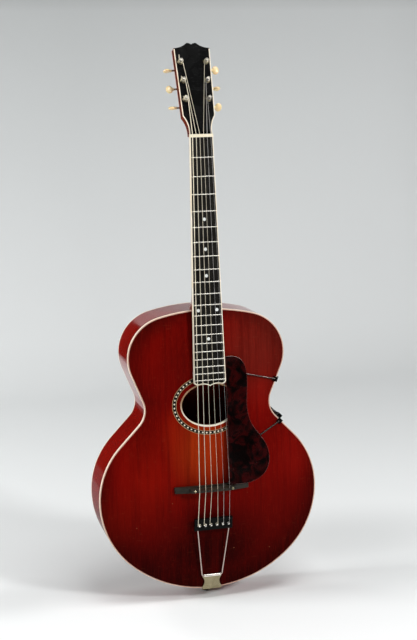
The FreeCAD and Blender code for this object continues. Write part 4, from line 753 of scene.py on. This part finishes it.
ivoroid_pale = (0.88, 0.76, 0.47)
ivoroid_deep = (0.74, 0.53, 0.25)
ivoroid_handled = (0.80, 0.56, 0.27)
ivoroid, tree, shader, place = new_finish("ivoroid")
streak = streaks(tree, place, (120.0, 900.0, 300.0), detail=2.0, distortion=0.5)
marks = handled(tree, place, size=60.0)
colour = mixed(tree, streak, ivoroid_pale, ivoroid_deep)
colour = laid(tree, colour, marks["Smear"], 0.5, ivoroid_handled)
surfaced(tree, shader, colour, spread(tree, streak, 0.2, 0.34))
shader.inputs["Subsurface Weight"].default_value = 0.2
shader.inputs["Subsurface Scale"].default_value = 0.004
shader.inputs["Coat Weight"].default_value = 0.3
for side in ("treble", "bass"):
    finish_node(f"tuner_plate_{side}", old_nickel)
    for number in (1, 2, 3):
        finish_node(f"post_{side}_{number}", gear_brass)
        finish_node(f"worm_{side}_{number}", old_nickel)
        finish_node(f"button_{side}_{number}", ivoroid)
finish_node("tuner_bushings", old_nickel)

# Screws. Small round-headed wood screws hold the machine strips and the tailpiece bracket.
# Each head is turned with a slot sawn across it, and the slots stand at odd turns.
head_radius = 0.0024
head_rise = 0.0017
head_steps = 28
# the head's outline, as shares of its radius and of its rise
head_outline = ((0.0, 1.0), (0.35, 0.94), (0.68, 0.74), (0.9, 0.42), (1.0, 0.0))
head_gap = 1e-7
slot_half = 0.00035
slot_floor = 0.0009
first_turn = 0.3
turn_apart = 0.9
same_plane = 0.03


def loose_parts(mesh):
    """The separate closed skins of a mesh, each as a list of faces, in the order of the mesh."""
    found = set()
    for first in mesh.faces:
        if first in found:
            continue
        found.add(first)
        part = [first]
        for face in part:
            for neighbour in [f for v in face.verts for f in v.link_faces]:
                if neighbour not in found:
                    found.add(neighbour)
                    part.append(neighbour)
        yield part


heads = bmesh.new()
seats = bmesh.new()
seats.from_mesh(frame["nodes"]["small_screws"].data)
bmesh.ops.remove_doubles(seats, verts=seats.verts, dist=merge_gap)
for number, part in enumerate(loose_parts(seats)):
    # the flat seat is the plane that most of the skin's area lies in
    areas = {}
    for face in part:
        key = tuple(round(c, 2) for c in face.normal)
        areas[key] = areas.get(key, 0.0) + face.calc_area()
    seat = max(areas, key=areas.get)
    flat = [f for f in part if (f.normal - Vector(seat)).length < same_plane]
    area = sum(f.calc_area() for f in flat)
    middle = sum((f.calc_center_median() * f.calc_area() for f in flat), Vector()) / area
    head = bmesh.new()
    points = [head.verts.new((head_radius * out, 0.0, head_rise * up)) for out, up in head_outline]
    profile = [head.edges.new(pair) for pair in zip(points, points[1:])]
    bmesh.ops.spin(
        head, geom=points + profile, cent=(0, 0, 0), axis=(0, 0, 1), angle=math.tau, steps=head_steps,
        use_merge=True,
    )
    bmesh.ops.remove_doubles(head, verts=head.verts, dist=head_gap)
    for side in (-slot_half, slot_half):
        bmesh.ops.bisect_plane(
            head, geom=head.verts[:] + head.edges[:] + head.faces[:], plane_co=(side, 0, 0),
            plane_no=(1, 0, 0),
        )
    strip = [f for f in head.faces if abs(f.calc_center_median().x) < slot_half]
    sunk = bmesh.ops.extrude_face_region(head, geom=strip)["geom"]
    for vert in only(bmesh.types.BMVert, sunk):
        vert.co.z = min(vert.co.z, slot_floor)
    bmesh.ops.delete(head, geom=[f for f in strip if f.is_valid], context="FACES_ONLY")
    bmesh.ops.remove_doubles(head, verts=head.verts, dist=head_gap)
    bmesh.ops.recalc_face_normals(head, faces=head.faces)
    stood = (-Vector(seat)).to_track_quat("Z", "Y").to_matrix().to_4x4()
    turn = Matrix.Rotation(turn_apart * number + first_turn, 4, "Z")
    bmesh.ops.transform(head, matrix=Matrix.Translation(middle) @ stood @ turn, verts=head.verts)
    made = bpy.data.meshes.new("one_head")
    head.to_mesh(made)
    head.free()
    heads.from_mesh(made)
    bpy.data.meshes.remove(made)
seats.free()
slotted = put("slotted_screws", heads, old_nickel)
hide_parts("small_screws")
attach(slotted, "guitar")

# Bridge. A long foot of black wood shaped to the arch, with a separate saddle on it that is stepped
# for each string, held by two nickel studs. It stands on the top by the strings' pressure alone.
bridge_round = 0.0006
bridge_shortest = 0.002
along_bridge = (0, math.radians(90), 0)
bridge_black = (0.007, 0.006, 0.004)
bridge_brown = (0.016, 0.0135, 0.009)
bridge_fibre = (0.045, 0.038, 0.026)
bridge_rubbed = (0.055, 0.047, 0.034)


def longer_than(length):
    """A test that picks the edges longer than a length."""
    return lambda edge: edge.calc_length() > length


black_bridge, tree, shader, place = new_finish("worn_black_bridge")
turned = add(tree, "ShaderNodeMapping", {"Vector": place, "Rotation": along_bridge}).outputs[0]
wood = grained(tree, turned, rings=500.0, waver=5.0)
marks = handled(tree, place, size=50.0)
colour = mixed(tree, wood["Cloud"], bridge_black, bridge_brown)
colour = mixed(tree, spread(tree, wood["Fibre"], 0.0, 0.5, 0.5, 0.8), colour, bridge_fibre)
colour = laid(tree, colour, marks["Smear"], 0.3, bridge_rubbed)
surfaced(tree, shader, colour, spread(tree, marks["Smear"], 0.35, 0.55), glint=0.25)
lifted(tree, shader, wood["Fibre"], strength=0.25, distance=0.0002)
for name in ("bridge_base", "bridge_saddle"):
    softened(name, bridge_round, black_bridge, longer_than(bridge_shortest))
finish_node("bridge_studs", old_nickel)

# Tailpiece. A bent wire hooked in a stamped bracket carries a black bar with six pins for the string
# loops. The bracket laps over the bottom edge and is held under the black end pin.
bar_round = 0.0008
bar_shortest = 0.004
roll_heights = (0.0395, 0.0410)
roll_highlight = (0.88, 0.82, 0.76)
# the wire's pink tint is a painted reflection of the red top
wire_nickel = old_metal(
    "wire_nickel", (0.58, 0.46, 0.42), (0.38, 0.29, 0.25), smooth=0.12, rough=0.28, size=70.0,
)
bright_nickel = old_metal(
    "bright_nickel", (0.80, 0.78, 0.73), (0.50, 0.46, 0.38), smooth=0.12, rough=0.30, size=70.0,
)
# the roll that the wire turns in has a painted highlight, set by its height
bracket_nickel_with_highlight = old_metal(
    "bracket_nickel_with_highlight", (0.34, 0.295, 0.185), (0.19, 0.155, 0.085), smooth=0.16, rough=0.40, size=55.0,
)
tree = bracket_nickel_with_highlight.node_tree
roll_highlight_share = spread(tree, parted(tree, own_place(tree))[2], 0.0, 1.0, *roll_heights)
overlaid(bracket_nickel_with_highlight, roll_highlight_share, roll_highlight)
finish_node("tailpiece_bracket", bracket_nickel_with_highlight)
finish_node("tailpiece_wire", wire_nickel)
finish_node("tailpiece_pins", bright_nickel)
softened("tailpiece_bar", bar_round, black_veneer, longer_than(bar_shortest))
finish_node("end_pin", black_inlay)

# Strings. Four are wound with bronze and two are of plain steel. Each is looped on a pin, drawn over
# the saddle and the nut, and wound on its post. The bronze windings are raised in the finish, with
# painted shade between the turns.
winding = 480.0
bronze_dark = (0.62, 0.55, 0.40)
bronze_bright = (0.96, 0.90, 0.74)
bronze_handled = (0.76, 0.66, 0.48)
wound, tree, shader, place = new_finish("wound_string")
sockets = {"Vector": place, "Scale": winding, "Distortion": 0.0}
turns = add(tree, "ShaderNodeTexWave", sockets, bands_direction="Z").outputs[1]
marks = handled(tree, place, size=30.0)
colour = mixed(tree, turns, bronze_dark, bronze_bright)
colour = laid(tree, colour, marks["Smear"], 0.3, bronze_handled)
surfaced(tree, shader, colour, spread(tree, marks["Smear"], 0.34, 0.5))
shader.inputs["Metallic"].default_value = 0.55
lifted(tree, shader, turns, strength=0.3, distance=0.0001)
finish_node("wound_strings", wound)
plain_steel = old_metal(
    "plain_steel", (0.92, 0.90, 0.88), (0.70, 0.64, 0.58), smooth=0.34, rough=0.5, size=40.0,
)
finish_node("plain_strings", plain_steel)

# String ends. Each string goes through the hole in its post and its cut end is left standing out,
# bent up by hand, so no two lie alike. They turn with the posts.
post_radius = 0.003
hole_below_tip = 0.0022
past_post = 0.0006
bend_out = 0.0004
# each end's finish and radius, and how far it stands out across the head, up it and off its face
ends = {
    "bass_1": (wound, 0.00042, -0.0030, 0.0020, 0.0016),
    "bass_2": (wound, 0.00052, -0.0012, 0.0042, 0.0020),
    "bass_3": (wound, 0.00062, -0.0004, 0.0085, 0.0030),
    "treble_1": (plain_steel, 0.00020, 0.0050, 0.0072, 0.0030),
    "treble_2": (plain_steel, 0.00022, 0.0012, 0.0048, 0.0022),
    "treble_3": (wound, 0.00034, 0.0030, 0.0030, 0.0016),
}


def wire(mesh, points, radius, sides=8):
    """A round wire through a row of points, closed at its ends."""
    loops = []
    for number, point in enumerate(points):
        ahead = points[min(number + 1, len(points) - 1)] - points[max(number - 1, 0)]
        turn = ahead.to_track_quat("Z", "Y").to_matrix().to_4x4()
        ring = bmesh.ops.create_circle(
            mesh, cap_ends=number in (0, len(points) - 1), segments=sides, radius=radius,
            matrix=Matrix.Translation(point) @ turn,
        )["verts"]
        loops.append(list(dict.fromkeys(e for v in ring for e in v.link_edges)))
    for near, far in zip(loops, loops[1:]):
        bmesh.ops.bridge_loops(mesh, edges=near + far)
    bmesh.ops.recalc_face_normals(mesh, faces=mesh.faces)


for joint in frame["record"]["behaviour"]["joints"]:
    if not joint["name"].startswith("post_"):
        continue
    where = joint["name"].removeprefix("post_")
    string_finish, radius, out, up, off = ends[where]
    axis = Vector(joint["axis"])
    seat = Vector(joint["pos_m"])
    tip = min((v.co - seat).dot(axis) for v in frame["nodes"]["post_" + where].data.vertices)
    hole = seat + axis * (tip + hole_below_tip)
    across = Vector((math.copysign(1.0, out), 0.0, 0.0))
    upward = Vector((1.0, 0.0, 0.0)).cross(axis)
    rise = Vector((out, 0.0, 0.0)) + upward * up - axis * off
    leave = hole + across * (post_radius + past_post)
    bent = leave + across * bend_out + rise * 0.3
    end = bmesh.new()
    wire(end, [hole, leave, bent, leave + rise * 0.7, leave + rise], radius)
    piece = put("string_end_" + where, end, string_finish)
    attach(piece, "post_" + where)

# Finger rest. A sheet of mottled brown-black celluloid held off the top by two bent metal straps,
# each drawn round the rim by a threaded barrel between a front bracket and a hook behind.
rest_round = 0.0013
tortoise_black = (0.0020, 0.0006, 0.0006)
tortoise_red = (0.027, 0.0010, 0.0012)
rest_chip = (0.20, 0.10, 0.06)
edge_red = (0.20, 0.085, 0.075)
edge_brown = (0.09, 0.030, 0.026)
edge_highlight_pink = (0.85, 0.58, 0.52)
strap_dark = (0.034, 0.028, 0.025)
strap_stain = (0.014, 0.011, 0.010)
strap_highlight = (0.85, 0.66, 0.62)


def on_front(edge):
    """Whether an edge bounds the sheet's front."""
    return any(f.normal.y < -face_on for f in edge.link_faces)


tortoise, tree, shader, place = new_finish("tortoise_celluloid")
blot = noise(tree, place, scale=38.0, detail=3.0, distortion=1.8)
marks = handled(tree, place, size=26.0)
colour = mixed(tree, spread(tree, blot, 0.0, 1.0, 0.42, 0.68), tortoise_black, tortoise_red)
colour = laid(tree, colour, marks["Speck"], 0.3, rest_chip)
surfaced(tree, shader, colour, spread(tree, marks["Smear"], 0.14, 0.28), glint=0.2)
lifted(tree, shader, marks["Scuff"], strength=0.05, distance=0.0001)
# its edge is rounded and polished, with a painted highlight where it faces up
highlit_edge, tree, shader, place = new_finish("celluloid_edge_with_painted_highlight")
blot = noise(tree, place, scale=90.0, detail=2.0)
colour = mixed(tree, blot, edge_red, edge_brown)
colour = mixed(tree, spread(tree, facing(tree, 2), 0.0, 1.0, 0.3, 0.6), colour, edge_highlight_pink)
surfaced(tree, shader, colour, spread(tree, blot, 0.10, 0.22))
softened("finger_rest", rest_round, tortoise, on_front, highlit_edge)

dark_nickel = old_metal("dark_nickel", strap_dark, strap_stain, smooth=0.14, rough=0.34, size=55.0)
for clamp in ("upper", "lower"):
    for piece in ("barrel", "hook", "bracket"):
        finish_node(f"{clamp}_clamp_{piece}", dark_nickel)
# the upper strap has a painted highlight along its top, where it faces up
strap_with_highlight = old_metal("strap_with_highlight", strap_dark, strap_stain, smooth=0.14, rough=0.34, size=55.0)
tree = strap_with_highlight.node_tree
overlaid(strap_with_highlight, spread(tree, facing(tree, 2), 0.0, 1.0, 0.1, 0.5), strap_highlight)
finish_node("upper_clamp_bracket", strap_with_highlight)
